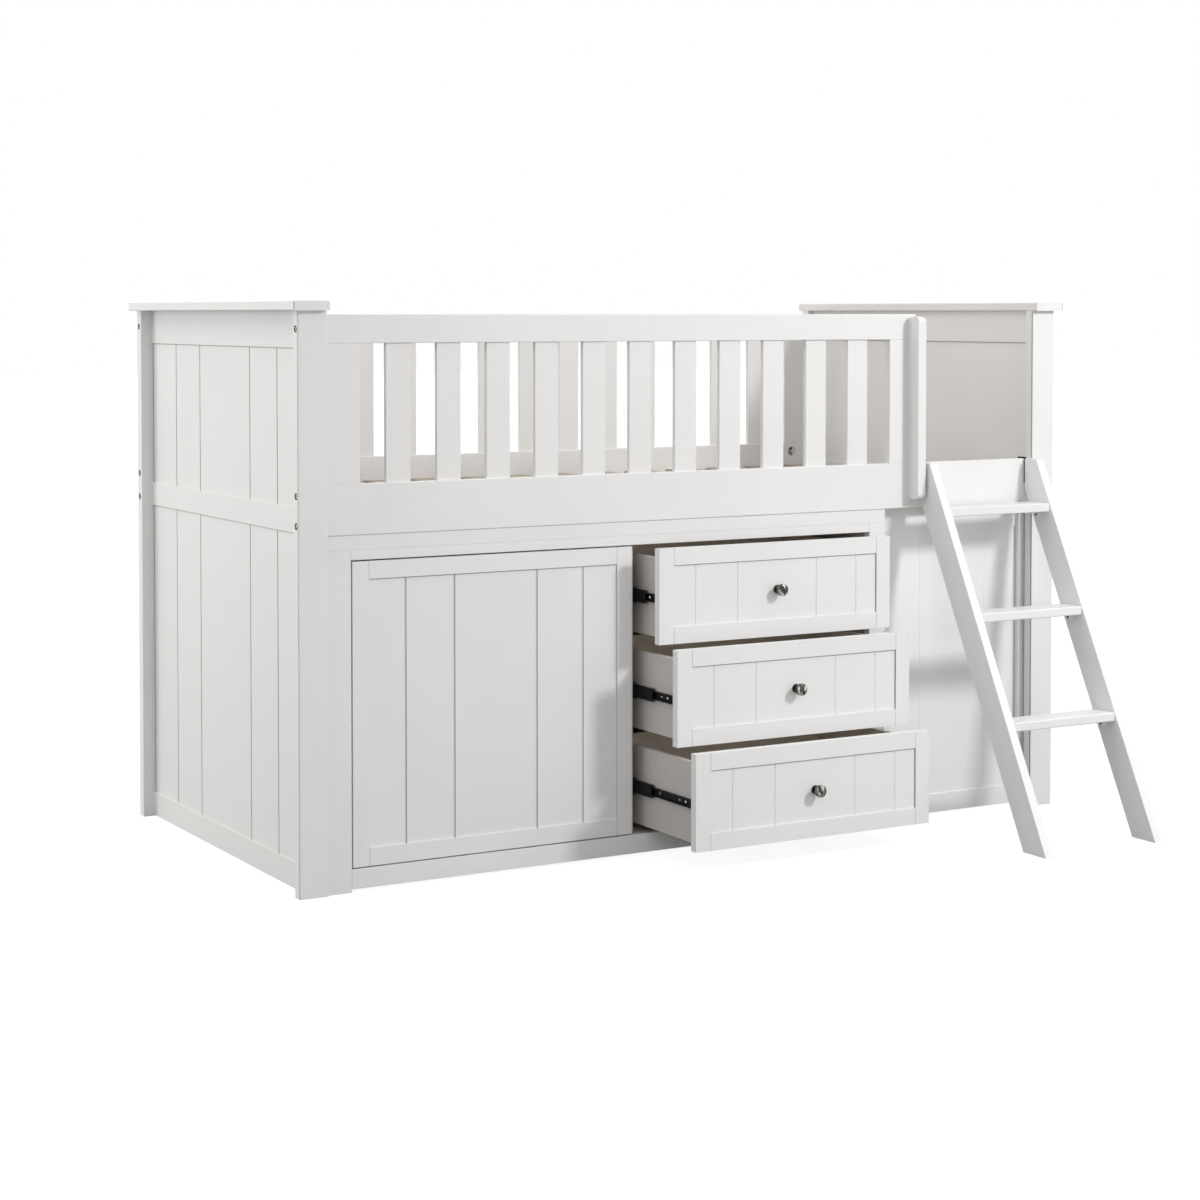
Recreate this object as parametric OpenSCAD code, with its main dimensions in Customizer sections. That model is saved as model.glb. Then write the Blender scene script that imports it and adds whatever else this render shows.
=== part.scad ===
// Cabin bed for a child: a raised single bed with two panelled ends, a slatted
// guard with an entry gap and a hook-on ladder, and under the mattress base a
// cabinet with a panelled cupboard door and three drawers on telescopic slides.
// Millimetres. X runs along the bed, Y from the front to the back, Z is up.
// The origin lies on the floor, under the middle of the whole object.

/* [Overall] */
// Length over the outer faces of the posts
bed_l = 2000; // [1750:1:2400]
// Width over the outer faces of the posts
bed_w = 993; // [840:1:1400]
// Height of the posts, up to the underside of the cap
post_h = 1219; // [1010:1:1500]

/* [End frames] */
// Width of a post along the bed
post_w = 65; // [50:1:90]
// Thickness of a post across the bed
post_t = 28; // [22:1:40]
// Radius of the upright edges of a post
post_r = 2; // [1:0.5:5]
// Distance from a post's outer face in to the face of the end rails
end_inset = 27; // [10:1:33]
// Thickness of the end rails
end_rail_t = 20; // [18:0.5:25]
// Gap between the floor and the bottom end rail
end_floor_gap = 2; // [1:1:20]
// Height of the bottom end rail
end_bottom_h = 56; // [45:1:80]
// Underside of the middle end rail above the floor
end_middle_z = 753; // [500:1:850]
// Height of the middle end rail
end_middle_h = 53; // [40:1:80]
// Height of the top end rail
end_top_h = 78; // [60:1:110]
// Thickness of the caps on the end frames
cap_t = 20; // [14:1:30]
// Overhang of a cap at its outer side and both ends
cap_over = 15; // [5:1:30]
// Radius of the long edges of a cap
cap_r = 3; // [1:0.5:6]

/* [Panels] */
// Thickness of the grooved panels
panel_t = 12; // [10:0.5:13]
// Distance from a frame's face in to its panel
panel_setback = 3; // [1:0.5:4]
// Depth of the panel edge in the groove of its frame
tongue = 6; // [4:0.5:10]
// Depth of the V-grooves in the panels, half their width
vee_d = 2; // [1:0.25:3]
// Distance of the inner pair of V-grooves from the middle of an end panel
end_vee_in = 153; // [100:1:200]
// Distance of the outer pair of V-grooves from the middle of an end panel
end_vee_out = 309; // [220:1:380]

/* [Joints] */
// Clearance all round a tenon, pin or panel edge in its recess
fit = 0.2; // [0.1:0.05:0.5]
// Length of the tenons on the end rails
tenon_l = 18; // [10:1:22]
// Thickness of the tenons on the end rails
tenon_t = 12; // [8:0.5:14]
// Shoulder above and below a tenon
tenon_shoulder = 8; // [5:1:15]
// Open joint left between two glued or dowelled pieces
joint = 0.1; // [0.05:0.05:0.3]
// Play at the ends of boards and slats that are laid in place
board_play = 1; // [0.5:0.5:2]

/* [Side rails and guard] */
// Thickness of the side rails and of the guard's rails and stiles
rail_t = 20; // [18:0.5:25]
// Radius of the edges of the rails and slats
edge_r = 1.5; // [0.5:0.5:4]
// Distance from the posts' front face in to the side rail
rail_setback = 4; // [2:0.5:6]
// Underside of the front side rail above the floor
rail_z = 751; // [600:1:950]
// Height of the front side rail
rail_h = 107; // [90:1:140]
// Underside of the rear side rail above that of the front one
rear_rail_up = 6; // [0:1:10]
// Height of the rear side rail
rear_rail_h = 95; // [80:1:130]
// Distance from the top of the posts down to the top of the guard
guard_drop = 8; // [0:1:30]
// Height of the guard's top rail
guard_rail_h = 60; // [45:1:90]
// Width of the guard's stiles
guard_stile_w = 75; // [50:1:100]
// Width of the upright slats of the guard
guard_slat_w = 57; // [40:1:70]
// Thickness of the upright slats of the guard
guard_slat_t = 11; // [8:0.5:14]
// Slats in the front guard
front_slats = 11; // [6:1:14]
// Slats in the rear guard
rear_slats = 14; // [8:1:18]
// Depth of the slats' tenons in the rails
slat_tenon = 8; // [5:1:15]
// Width of the entry between the front guard and the right post
entry_w = 355; // [320:1:500]

/* [Grab post] */
// Width of the grab post along the bed
grab_w = 22.5; // [18:0.5:35]
// Depth of the grab post, out from the guard
grab_d = 39; // [28:1:60]
// Distance that the grab post stands past the end of the guard
grab_past = 2.5; // [0:0.5:5]
// Distance from the underside of the side rail up to the grab post
grab_up = 22; // [5:1:60]
// Distance from the top of the guard down to the grab post
grab_down = 6; // [0:1:40]
// Radius of the rounded ends of the grab post, seen from the side
grab_r = 12; // [3:1:14]
// Radius of its corners on the entry side, seen from the front
grab_side_r = 10; // [3:1:11]

/* [Mattress base] */
// Width of the ledger strips on the side rails
ledger_w = 30; // [20:1:45]
// Height of the ledger strips
ledger_h = 22; // [15:1:22]
// Top of the mattress slats above the underside of the side rail
deck_up = 41; // [36:1:60]
// Width of a mattress slat
deck_slat_w = 70; // [50:1:90]
// Thickness of a mattress slat
deck_slat_t = 18; // [12:1:20]
// Number of mattress slats
deck_slats = 15; // [10:1:18]
// Gap between the last mattress slats and the posts
deck_end_gap = 8; // [2:1:40]

/* [Frame bolts] */
// Diameter of the bolts
bolt_d = 6; // [5:0.5:8]
// Diameter of the bolt heads
bolt_head_d = 13; // [11:0.5:15]
// Height of the bolt heads
bolt_head_h = 4; // [3:0.5:5]
// Depth of the counterbores in the posts
bolt_sink = 5; // [3:0.5:8]
// Clearance round a bolt in its hole
bolt_play = 0.5; // [0.2:0.1:1]
// Clearance round a bolt head in its counterbore
bolt_head_play = 1; // [0.5:0.25:1.5]
// Width across the corners of the socket in a bolt head
bolt_socket_d = 5; // [3:0.5:5.5]
// Thickness left below that socket
bolt_socket_floor = 1; // [0.5:0.5:1.5]
// Distance from a rail's end in to the middle of its half-moon nut
nut_in = 50; // [30:1:80]
// Diameter of the holes for the half-moon nuts
moon_d = 25; // [20:1:26]
// Distance from the flat of a half-moon nut to the middle of its hole
moon_flat = 3; // [2:0.5:5]
// Length of the half-moon nuts through the rail
nut_l = 14; // [12:1:16]
// Width across the corners of the hexagon on such a nut
nut_d = 11.5; // [10:0.5:14]
// Height of that hexagon
nut_h = 5; // [3:0.5:7]
// Length of a frame bolt past the middle of its nut's hole
bolt_past = 9; // [7:0.5:10]
// Wood between the holes for the nuts and the recesses for the slats
bolt_cover = 2; // [1:0.5:6]
// Wood below the lower hole for a nut in the front side rail
bolt_foot = 10; // [8:1:14]

/* [Cabinet] */
// Distance from the posts' front face in to the cabinet's face frame
face_setback = 7; // [4:0.5:8]
// Thickness of the face frame, the door and the drawer fronts
face_t = 20; // [18:0.5:25]
// Height of the filler strip between the cabinet and the side rail
filler_h = 32; // [15:1:60]
// Height of the face frame's top rail
face_rail_h = 21; // [18:0.5:40]
// Width of the face frame's left stile
face_stile_left = 55; // [40:1:80]
// Width of the face frame's right stile
face_stile_right = 45; // [30:1:80]
// Gap between the floor and the plinth rail
plinth_gap = 7; // [2:1:15]
// Height of the plinth rail
plinth_h = 42; // [30:1:80]
// Thickness of the carcass boards
board_t = 18; // [15:0.5:21]
// Depth of the carcass behind the face frame
carcass_d = 443; // [435:1:600]
// Distance from the face frame back to the cupboard shelf
shelf_setback = 12; // [8:1:30]
// Distance of the shelf pins from the ends of the shelf
pin_inset = 50; // [30:1:80]
// Thickness of the back board
back_t = 6; // [3:0.5:9]
// Distance from the face frame's back to the front edge of the partition
partition_setback = 8; // [4:1:30]
// Distance from the partition to the left edge of the drawer fronts
partition_gap = 2; // [1:0.5:4]
// Width of the cupboard door
door_w = 677; // [400:1:700]
// Width of the drawer fronts
drawer_w = 626; // [400:1:720]
// Width of the finger gap between the door and the drawer fronts
finger_gap = 21; // [12:1:40]
// Gap between a front and the face frame, and between two drawer fronts
front_gap = 3; // [2:0.5:5]
// Width of the frame members of the door and the drawer fronts
member_w = 38; // [30:1:50]
// Distance of the inner pair of V-grooves from the middle of the door
door_vee_in = 100; // [60:1:120]
// Distance of the outer pair of V-grooves from the middle of the door
door_vee_out = 215; // [140:1:240]
// Distance of the inner pair of V-grooves from the middle of a drawer front
drawer_vee_in = 107; // [60:1:120]
// Distance of the outer pair of V-grooves from the middle of a drawer front
drawer_vee_out = 218; // [140:1:240]
// Thickness of the cupboard shelf
shelf_t = 15; // [12:1:18]
// Diameter of the shelf pins
pin_d = 5; // [4:0.5:7]
// Length of the shelf pins
pin_l = 16; // [12:1:24]

/* [Door hardware] */
// Diameter of the hinge cups
cup_d = 26; // [24:1:28]
// Depth of the hinge cups
cup_depth = 11; // [9:0.5:13]
// Wall and floor of the hinge cups
cup_wall = 1; // [0.5:0.25:2]
// Distance from the door's edge to the middle of a hinge cup
cup_in = 18; // [16:1:19]
// Distance from the door's ends to its hinges
hinge_in = 90; // [60:1:150]
// Height of a hinge arm
arm_h = 22; // [14:1:30]
// Length of the plates that hold the hinge arms
arm_plate_l = 54; // [40:1:70]
// Distance of those plates behind the face frame
arm_plate_in = 6; // [3:1:12]
// Thickness of those plates
arm_plate_t = 3; // [2:0.5:4]
// Thickness of a hinge arm
arm_t = 8.5; // [6:0.5:9]
// Size of the magnetic catch
catch_s = 16; // [10:1:24]
// Clearance between the door's back and what is fixed behind it
door_clear = 0.5; // [0.3:0.1:1]

/* [Drawers] */
// How far the top, middle and bottom drawer stand open
drawer_open = [84, 160, 236];
// How far the middle slide members of those drawers stand out
middle_open = [44, 75, 72];
// Length of the drawer boxes and the slides
slide_l = 400; // [300:1:420]
// Thickness of the box sides
box_t = 12; // [10:0.5:15]
// Thickness of the box bottoms
box_bottom_t = 5; // [3:0.5:6]
// Height of a box bottom above the lower edge of its sides
box_bottom_up = 9; // [5:1:15]
// Depth of the box bottoms in the grooves of the walls
box_groove = 5; // [3:0.5:6]
// Distance from the top of a drawer front down to its box
box_down = 22; // [15:1:40]
// Distance from the bottom of a drawer front up to its box
box_up = 14; // [10:1:30]

/* [Drawer slides] */
// Thickness of a closed slide, between the carcass and the box
slide_t = 12.7; // [12:0.1:14]
// Wall of the slide members
slide_wall = 1.5; // [1:0.1:2]
// Height of the outer member
slide_h = 35; // [34:0.5:45]
// Height of the middle member
middle_h = 28; // [24:0.5:30]
// Height of the inner member
inner_h = 18; // [12:0.5:20]
// Running gap between the webs of the slide members
slide_gap = 0.6; // [0.4:0.1:1.2]
// Distance of the inner members behind the drawer fronts
inner_back = 1; // [0.5:0.1:3]
// How much shorter the inner members are than the slides
inner_short = 2; // [2:0.5:10]
// Distance of the middle members behind the face frame, drawers closed
middle_back = 3; // [1:0.5:6]
// Distance of the outer members behind the front of the partition
outer_back = 1; // [0.5:0.5:6]
// Distance from the middle of a drawer front down to its slides
slide_down = 6; // [0:1:20]

/* [Knobs] */
// Diameter of a knob's head
knob_d = 27; // [20:1:35]
// Height of a knob off the drawer front
knob_h = 27; // [20:1:35]
// Thickness of a knob's head
knob_head_t = 11; // [8:0.5:14]
// Radius of the rim of a knob's head
knob_rim_r = 3; // [1:0.5:3.5]
// Diameter of a knob's foot
knob_foot_d = 20; // [12:1:24]
// Thickness of a knob's foot
knob_foot_t = 3; // [2:0.5:5]
// Diameter of a knob's neck
knob_neck_d = 10; // [6:0.5:12]

/* [Infill panel] */
// Gap between the floor and the infill panel
infill_gap = 4; // [2:1:15]
// Distance from the posts' front face in to the infill panel
infill_setback = 46; // [40:1:120]
// Thickness of the batten that holds the infill to the right end
batten_t = 12; // [8:1:16]
// Width of that batten
batten_w = 31; // [20:1:45]
// Height of the infill's bottom rail
infill_bottom_h = 45; // [30:1:80]
// Height of the infill's top rail
infill_top_h = 62; // [40:1:90]
// Distance of the inner pair of V-grooves from the infill's middle line
infill_vee_in = 98; // [60:1:130]
// Distance of the outer pair of V-grooves from the infill's middle line
infill_vee_out = 191; // [140:1:200]
// Distance of the infill's middle line from the right post
infill_middle = 208; // [150:1:260]

/* [Ladder] */
// Width over the ladder's stiles
ladder_w = 345; // [300:1:350]
// Gap between the grab post and the ladder
ladder_gap = 6; // [3:1:10]
// Thickness of a ladder stile
ladder_stile_t = 22; // [18:1:30]
// Width of a ladder stile across its length
ladder_stile_w = 70; // [55:1:90]
// Lean of the ladder from upright, in degrees
ladder_lean = 26.5; // [15:0.5:30]
// Number of treads
treads = 3; // [2:1:4]
// Top of the lowest tread above the floor
first_tread = 281; // [200:1:320]
// Distance from the ladder's top down to the highest tread
last_tread_drop = 103; // [80:1:200]
// Thickness of a tread
tread_t = 21; // [16:1:30]
// Depth of the housings for the treads in the stiles
housing = 6; // [4:1:9]
// Radius of the front edge of a tread
tread_r = 3; // [1:0.5:6]
// Height of the upright back edge of the ladder's stiles
ladder_upright = 73; // [60:1:90]
// Thickness of the hooks' flat steel
hook_t = 3.4; // [2:0.1:3.6]
// Width of a hook's strap behind its stile
hook_w = 18; // [12:1:18]
// Distance from the ladder's top down to the top of that strap
hook_drop = 2; // [1:0.5:6]
// Width of the narrow arm that reaches over the side rail
hook_arm_w = 5; // [4:0.5:12]
// Length of a hook's strap below the top of the side rail
hook_strap = 58; // [40:1:60]
// Length of a hook's lip behind the side rail
hook_lip = 16; // [8:1:30]
// Gap between a hook and the side rail
hook_gap = 0.3; // [0.2:0.1:0.6]
// Size of the blocks under the treads
block_s = 15; // [10:1:20]
// Place of those blocks under a tread, as a share of its depth from the back
block_place = 0.55; // [0.3:0.05:0.7]
// Diameter of the screws in those blocks
block_screw_d = 4; // [3:0.5:5]

/* [Hidden] */
$fn = 64;
eps = 1;

// end frames
left_in = post_w;
right_in = bed_l - post_w;
rear_y = bed_w - post_t;
end_mid_y = bed_w / 2;
end_span = rear_y - post_t;
end_top_z = post_h - end_top_h;
end_panel_x = end_inset + panel_setback;
tenon_x = end_inset + (end_rail_t - tenon_t) / 2;
lower_panel_z = end_floor_gap + end_bottom_h;
upper_panel_z = end_middle_z + end_middle_h;

// side rails and guard
rear_rail_z = rail_z + rear_rail_up;
rail_top = rail_z + rail_h;
rear_rail_top = rear_rail_z + rear_rail_h;
rail_back = rail_setback + rail_t;
guard_top = post_h - guard_drop;
guard_rail_z = guard_top - guard_rail_h;
guard_end = right_in - entry_w;
slat_inset = (rail_t - guard_slat_t) / 2;
bolt_y = rail_setback + rail_t / 2;
bolt_low = rail_z + bolt_foot + moon_d / 2;
bolt_down = slat_tenon + bolt_cover + moon_d / 2;
bolt_guard = guard_rail_z + guard_rail_h / 2;
front_rail_bolts = [bolt_low, rail_top - bolt_down];
rear_rail_bolts = [bolt_low, rear_rail_top - bolt_down];
front_bolts = concat(front_rail_bolts, [bolt_guard]);
rear_bolts = concat(rear_rail_bolts, [bolt_guard]);
bolt_end = post_w + nut_in + bolt_past;
nut_hole_depth = (rail_t + nut_l) / 2;
deck_z = rail_z + deck_up - deck_slat_t;
deck_pitch = (right_in - left_in - 2 * deck_end_gap - deck_slat_w) / (deck_slats - 1);

// cabinet
face_y = face_setback;
face_back = face_y + face_t;
carcass_back = face_back + carcass_d;
cabinet_x = left_in;
opening_x = cabinet_x + face_stile_left;
door_x = opening_x + front_gap;
drawer_x = door_x + door_w + finger_gap;
opening_end = drawer_x + drawer_w + front_gap;
cabinet_end = opening_end + face_stile_right;
cabinet_top = rail_z - filler_h;
opening_top = cabinet_top - face_rail_h;
opening_z = plinth_gap + plinth_h;
opening_h = opening_top - opening_z;
door_z = opening_z + front_gap;
door_h = opening_h - 2 * front_gap;
partition_x = drawer_x - partition_gap - board_t;
partition_y = face_back + partition_setback;
bay_x = partition_x + board_t;
floor_z = opening_z - board_t;
roof_z = cabinet_top - board_t;
carcass_inside = carcass_back - back_t;
shelf_y = face_back + shelf_setback;
shelf_z = (opening_z + opening_top) / 2;
pin_z = shelf_z - pin_d / 2;
pin_y = [face_back + pin_inset, carcass_inside - pin_inset];

// drawers
drawer_h = (opening_h - 4 * front_gap) / 3;
drawer_zs = [for (i = [0:2]) opening_top - front_gap - drawer_h - i * (drawer_h + front_gap)];
box_x = bay_x + slide_t;
box_w = opening_end - slide_t - box_x;
box_h = drawer_h - box_down - box_up;
slide_y = face_back + inner_back;
outer_y = partition_y + outer_back;
middle_y = face_back + middle_back;
middle_zs = [for (z = drawer_zs) z + drawer_h / 2 - slide_down];

// infill
infill_x = opening_end + board_t;
infill_end = bed_l - end_inset - end_rail_t;
infill_y = infill_setback;
infill_top = deck_z - ledger_h;
infill_mid_x = right_in - infill_middle;
infill_panel_y = infill_y + panel_setback;

// ladder
ladder_top = rail_top;
ladder_x = guard_end + grab_past + ladder_gap;
ladder_run = tan(ladder_lean);
ladder_flat = ladder_stile_w / cos(ladder_lean);
ladder_cut_z = ladder_top - ladder_upright;
foot_back = -ladder_run * ladder_cut_z;
foot_front = foot_back - ladder_flat;
tread_rise = (ladder_top - last_tread_drop - first_tread) / (treads - 1);
tread_zs = [for (i = [0:treads - 1]) first_tread + i * tread_rise - tread_t];
tread_x = ladder_x + ladder_stile_t;
tread_l = ladder_w - 2 * ladder_stile_t;

// placing: the middle of the whole object on the origin
mid_x = bed_l / 2;
mid_y = (foot_front + bed_w + cap_over) / 2;

paint = [0.93, 0.93, 0.92];
paint_panel = [0.9, 0.9, 0.89];
wood = [0.82, 0.7, 0.52];
liner = [0.8, 0.78, 0.75];
black_steel = [0.12, 0.12, 0.13];
zinc = [0.7, 0.71, 0.73];
nickel = [0.66, 0.65, 0.63];

// ---------------------------------------------------------------- helpers

module place() {
    translate([-mid_x, -mid_y, 0]) children();
}

// A box between two opposite corners.
module block(lo, hi) {
    translate(lo) cube(hi - lo);
}

// A flat rectangle with round corners.
module round_rect(w, d, r) {
    translate([r, 0]) square([w - 2 * r, d]);
    translate([0, r]) square([w, d - 2 * r]);
    for (x = [r, w - r], y = [r, d - r]) translate([x, y]) circle(r);
}

// The right end is the left end seen in a mirror, and the back the front.
module at_right() {
    translate([bed_l, 0, 0]) mirror([1, 0, 0]) children();
}

module at_back() {
    translate([0, bed_w, 0]) mirror([0, 1, 0]) children();
}

// A round rod along X.
module rod_x(d, l) {
    rotate([0, 90, 0]) cylinder(d = d, h = l);
}

// A round rod along Y.
module rod_y(d, l) {
    rotate([-90, 0, 0]) cylinder(d = d, h = l);
}

// An outline drawn in Y and Z, drawn out along X.
module drawn_x(l) {
    rotate([90, 0, 90]) linear_extrude(l) children();
}

// An outline drawn in X and Z, drawn out along Y.
module drawn_y(l) {
    translate([0, l, 0]) rotate([90, 0, 0]) linear_extrude(l) children();
}

// Plan of a panel, t thick, with V-grooves in its first face, or in both faces.
module vee_plan(w, vees, t, both) {
    difference() {
        square([w, t]);
        for (v = vees, y = both ? [0, t] : [0])
            translate([v, y]) rotate(45) square(vee_d * sqrt(2), center = true);
    }
}

// ------------------------------------------------------------- end frames

// Bolt hole through a post, with the counterbore at its outer face.
module post_bolt_hole(z) {
    translate([-eps, bolt_y, z]) rod_x(bolt_d + 2 * bolt_play, post_w + 2 * eps);
    translate([-eps, bolt_y, z]) rod_x(bolt_head_d + 2 * bolt_head_play, bolt_sink + eps);
}

// Mortise for the tenon of an end rail.
module mortise(z, h) {
    block([tenon_x - fit, post_t - tenon_l - fit, z + tenon_shoulder - fit],
        [tenon_x + tenon_t + fit, post_t + eps, z + h - tenon_shoulder + fit]);
}

// A post as it stands at the front left corner.
module post(bolts) {
    color(paint) difference() {
        linear_extrude(post_h) round_rect(post_w, post_t, post_r);
        mortise(end_floor_gap, end_bottom_h);
        mortise(end_middle_z, end_middle_h);
        mortise(end_top_z, end_top_h);
        for (span = [[lower_panel_z, end_middle_z], [upper_panel_z, end_top_z]])
            block([end_panel_x, post_t - tongue, span[0] - tongue],
                [end_panel_x + panel_t, post_t + eps, span[1] + tongue]);
        for (z = bolts) post_bolt_hole(z);
    }
}

module left_front_post() {
    place() post(front_bolts);
}

module left_rear_post() {
    place() at_back() post(rear_bolts);
}

module right_front_post() {
    place() at_right() post(front_rail_bolts);
}

module right_rear_post() {
    place() at_right() at_back() post(rear_bolts);
}

// One end rail with a tenon at each end and grooves for the panels. The bolts
// of the side rails pass through its tenons.
module end_rail(z, h, groove_below, groove_above, bolts) {
    color(paint) difference() {
        union() {
            block([end_inset, post_t, z], [end_inset + end_rail_t, rear_y, z + h]);
            block([tenon_x, post_t - tenon_l, z + tenon_shoulder],
                [tenon_x + tenon_t, rear_y + tenon_l, z + h - tenon_shoulder]);
        }
        if (groove_below)
            block([end_panel_x, post_t - tongue, z - eps],
                [end_panel_x + panel_t, rear_y + tongue, z + tongue]);
        if (groove_above)
            block([end_panel_x, post_t - tongue, z + h - tongue],
                [end_panel_x + panel_t, rear_y + tongue, z + h + eps]);
        for (bolt = bolts) post_bolt_hole(bolt);
        for (bolt = rear_bolts) at_back() post_bolt_hole(bolt);
    }
}

module end_rails(bolts) {
    end_rail(end_floor_gap, end_bottom_h, false, true, bolts);
    end_rail(end_middle_z, end_middle_h, true, true, bolts);
    end_rail(end_top_z, end_top_h, true, false, bolts);
}

module left_end_rails() {
    place() end_rails(front_bolts);
}

module right_end_rails() {
    place() at_right() end_rails(front_rail_bolts);
}

// One grooved panel of an end, with its edges let into posts and rails.
module end_panel(z0, z1, both) {
    reach = tongue - fit;
    w = end_span + 2 * reach;
    vees = [for (v = [-end_vee_out, -end_vee_in, end_vee_in, end_vee_out]) w / 2 + v];
    color(paint_panel) translate([end_panel_x + joint, end_mid_y + w / 2, z0 - reach])
        rotate(-90) linear_extrude(z1 - z0 + 2 * reach) vee_plan(w, vees, panel_t - 2 * joint, both);
}

module end_panels() {
    end_panel(lower_panel_z, end_middle_z, true);
    end_panel(upper_panel_z, end_top_z, false);
}

module left_end_panels() {
    place() end_panels();
}

module right_end_panels() {
    place() at_right() end_panels();
}

// The cap lies flat over the posts and the top rail.
module cap() {
    w = post_w + cap_over;
    color(paint) translate([-cap_over, -cap_over, post_h])
        drawn_y(bed_w + 2 * cap_over) round_rect(w, cap_t, cap_r);
}

module left_cap() {
    place() cap();
}

module right_cap() {
    place() at_right() cap();
}

// ---------------------------------------------------- side rails and guard

// Holes for one bolt and its half-moon nut, in the left end of a rail.
module rail_bolt_hole(z) {
    translate([left_in - eps, bolt_y, z]) rod_x(bolt_d + 2 * bolt_play, nut_in + eps);
    translate([left_in + nut_in, rail_back - nut_hole_depth, z])
        rod_y(moon_d, nut_hole_depth + eps);
}

// Where the slats of a guard start, evenly spaced between its two stiles.
function slat_xs(count, x_end) =
    let (x0 = left_in + guard_stile_w, x1 = x_end - guard_stile_w)
    let (gap = (x1 - x0 - count * guard_slat_w) / (count + 1))
    [for (i = [0:count - 1]) x0 + gap + i * (gap + guard_slat_w)];

// Recesses for the tenons of slats and stiles, opening at the height z.
module slat_recesses(count, x_end, z, up) {
    y0 = rail_setback + slat_inset - fit;
    y1 = rail_setback + slat_inset + guard_slat_t + fit;
    z0 = up ? z - eps : z - slat_tenon - fit;
    z1 = up ? z + slat_tenon + fit : z + eps;
    for (x = slat_xs(count, x_end))
        block([x - fit, y0, z0], [x + guard_slat_w + fit, y1, z1]);
    for (x = [left_in, x_end - guard_stile_w])
        block([x + tenon_shoulder - fit, y0, z0],
            [x + guard_stile_w - tenon_shoulder + fit, y1, z1]);
}

// A rail with round edges along the front, from x0 to x1 and z0 to z1.
module long_rail(x0, x1, z0, z1) {
    translate([x0, rail_setback, z0]) drawn_x(x1 - x0) round_rect(rail_t, z1 - z0, edge_r);
}

module front_side_rail() {
    place() color(paint) difference() {
        long_rail(left_in, right_in, rail_z, rail_top);
        slat_recesses(front_slats, guard_end, rail_top, false);
        for (z = front_rail_bolts) {
            rail_bolt_hole(z);
            at_right() rail_bolt_hole(z);
        }
    }
}

module rear_side_rail() {
    place() at_back() color(paint) difference() {
        long_rail(left_in, right_in, rear_rail_z, rear_rail_top);
        slat_recesses(rear_slats, right_in, rear_rail_top, false);
        for (z = rear_rail_bolts) {
            rail_bolt_hole(z);
            at_right() rail_bolt_hole(z);
        }
    }
}

module front_guard_rail() {
    place() color(paint) difference() {
        long_rail(left_in, guard_end, guard_rail_z, guard_top);
        slat_recesses(front_slats, guard_end, guard_rail_z, true);
        rail_bolt_hole(bolt_guard);
    }
}

module rear_guard_rail() {
    place() at_back() color(paint) difference() {
        long_rail(left_in, right_in, guard_rail_z, guard_top);
        slat_recesses(rear_slats, right_in, guard_rail_z, true);
        rail_bolt_hole(bolt_guard);
        at_right() rail_bolt_hole(bolt_guard);
    }
}

// Slats and stiles between a side rail and the guard's top rail.
module guard_uprights(count, x_end, z0) {
    y0 = rail_setback + slat_inset;
    z1 = guard_rail_z;
    color(paint) {
        for (x = slat_xs(count, x_end))
            translate([x, y0, z0 - slat_tenon]) linear_extrude(z1 - z0 + 2 * slat_tenon)
                round_rect(guard_slat_w, guard_slat_t, edge_r);
        for (x = [left_in, x_end - guard_stile_w]) {
            translate([x, rail_setback, z0]) linear_extrude(z1 - z0)
                round_rect(guard_stile_w, rail_t, edge_r);
            block([x + tenon_shoulder, y0, z0 - slat_tenon],
                [x + guard_stile_w - tenon_shoulder, y0 + guard_slat_t, z1 + slat_tenon]);
        }
    }
}

module front_guard_slats() {
    place() guard_uprights(front_slats, guard_end, rail_top);
}

module rear_guard_slats() {
    place() at_back() guard_uprights(rear_slats, right_in, rear_rail_top);
}

// Upright handhold on the end of the front guard, round at both ends.
module grab_post() {
    x = guard_end + grab_past - grab_w;
    z = rail_z + grab_up;
    h = guard_top - grab_down - z;
    place() color(paint) translate([x, rail_setback - grab_d, z]) intersection() {
        drawn_x(grab_w) round_rect(grab_d, h, grab_r);
        translate([-grab_side_r, -eps, 0]) drawn_y(grab_d + 2 * eps)
            round_rect(grab_w + grab_side_r, h, grab_side_r);
    }
}

// ---------------------------------------------------------- mattress base

module slat_ledgers() {
    lo = [left_in + 2 * board_play, rail_back, deck_z - ledger_h];
    hi = [right_in - 2 * board_play, rail_back + ledger_w, deck_z];
    place() color(wood) {
        block(lo, hi);
        at_back() block(lo, hi);
    }
}

module mattress_slats() {
    y = rail_back + board_play;
    place() color(wood)
        for (i = [0:deck_slats - 1])
            translate([left_in + deck_end_gap + i * deck_pitch, y, deck_z])
                cube([deck_slat_w, bed_w - 2 * y, deck_slat_t]);
}

// ------------------------------------------------------------ frame bolts

module bolt(z) {
    seat = bolt_sink;
    translate([0, bolt_y, z]) difference() {
        union() {
            translate([seat - bolt_head_h, 0, 0]) rod_x(bolt_head_d, bolt_head_h);
            translate([seat, 0, 0]) rod_x(bolt_d, bolt_end - seat);
        }
        translate([seat - bolt_head_h - eps, 0, 0]) rotate([0, 90, 0])
            cylinder(d = bolt_socket_d, h = bolt_head_h - bolt_socket_floor + eps, $fn = 6);
    }
}

module frame_bolts() {
    place() color(zinc) {
        for (z = front_bolts) bolt(z);
        for (z = front_rail_bolts) at_right() bolt(z);
        for (z = rear_bolts) {
            at_back() bolt(z);
            at_right() at_back() bolt(z);
        }
    }
}

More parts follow.
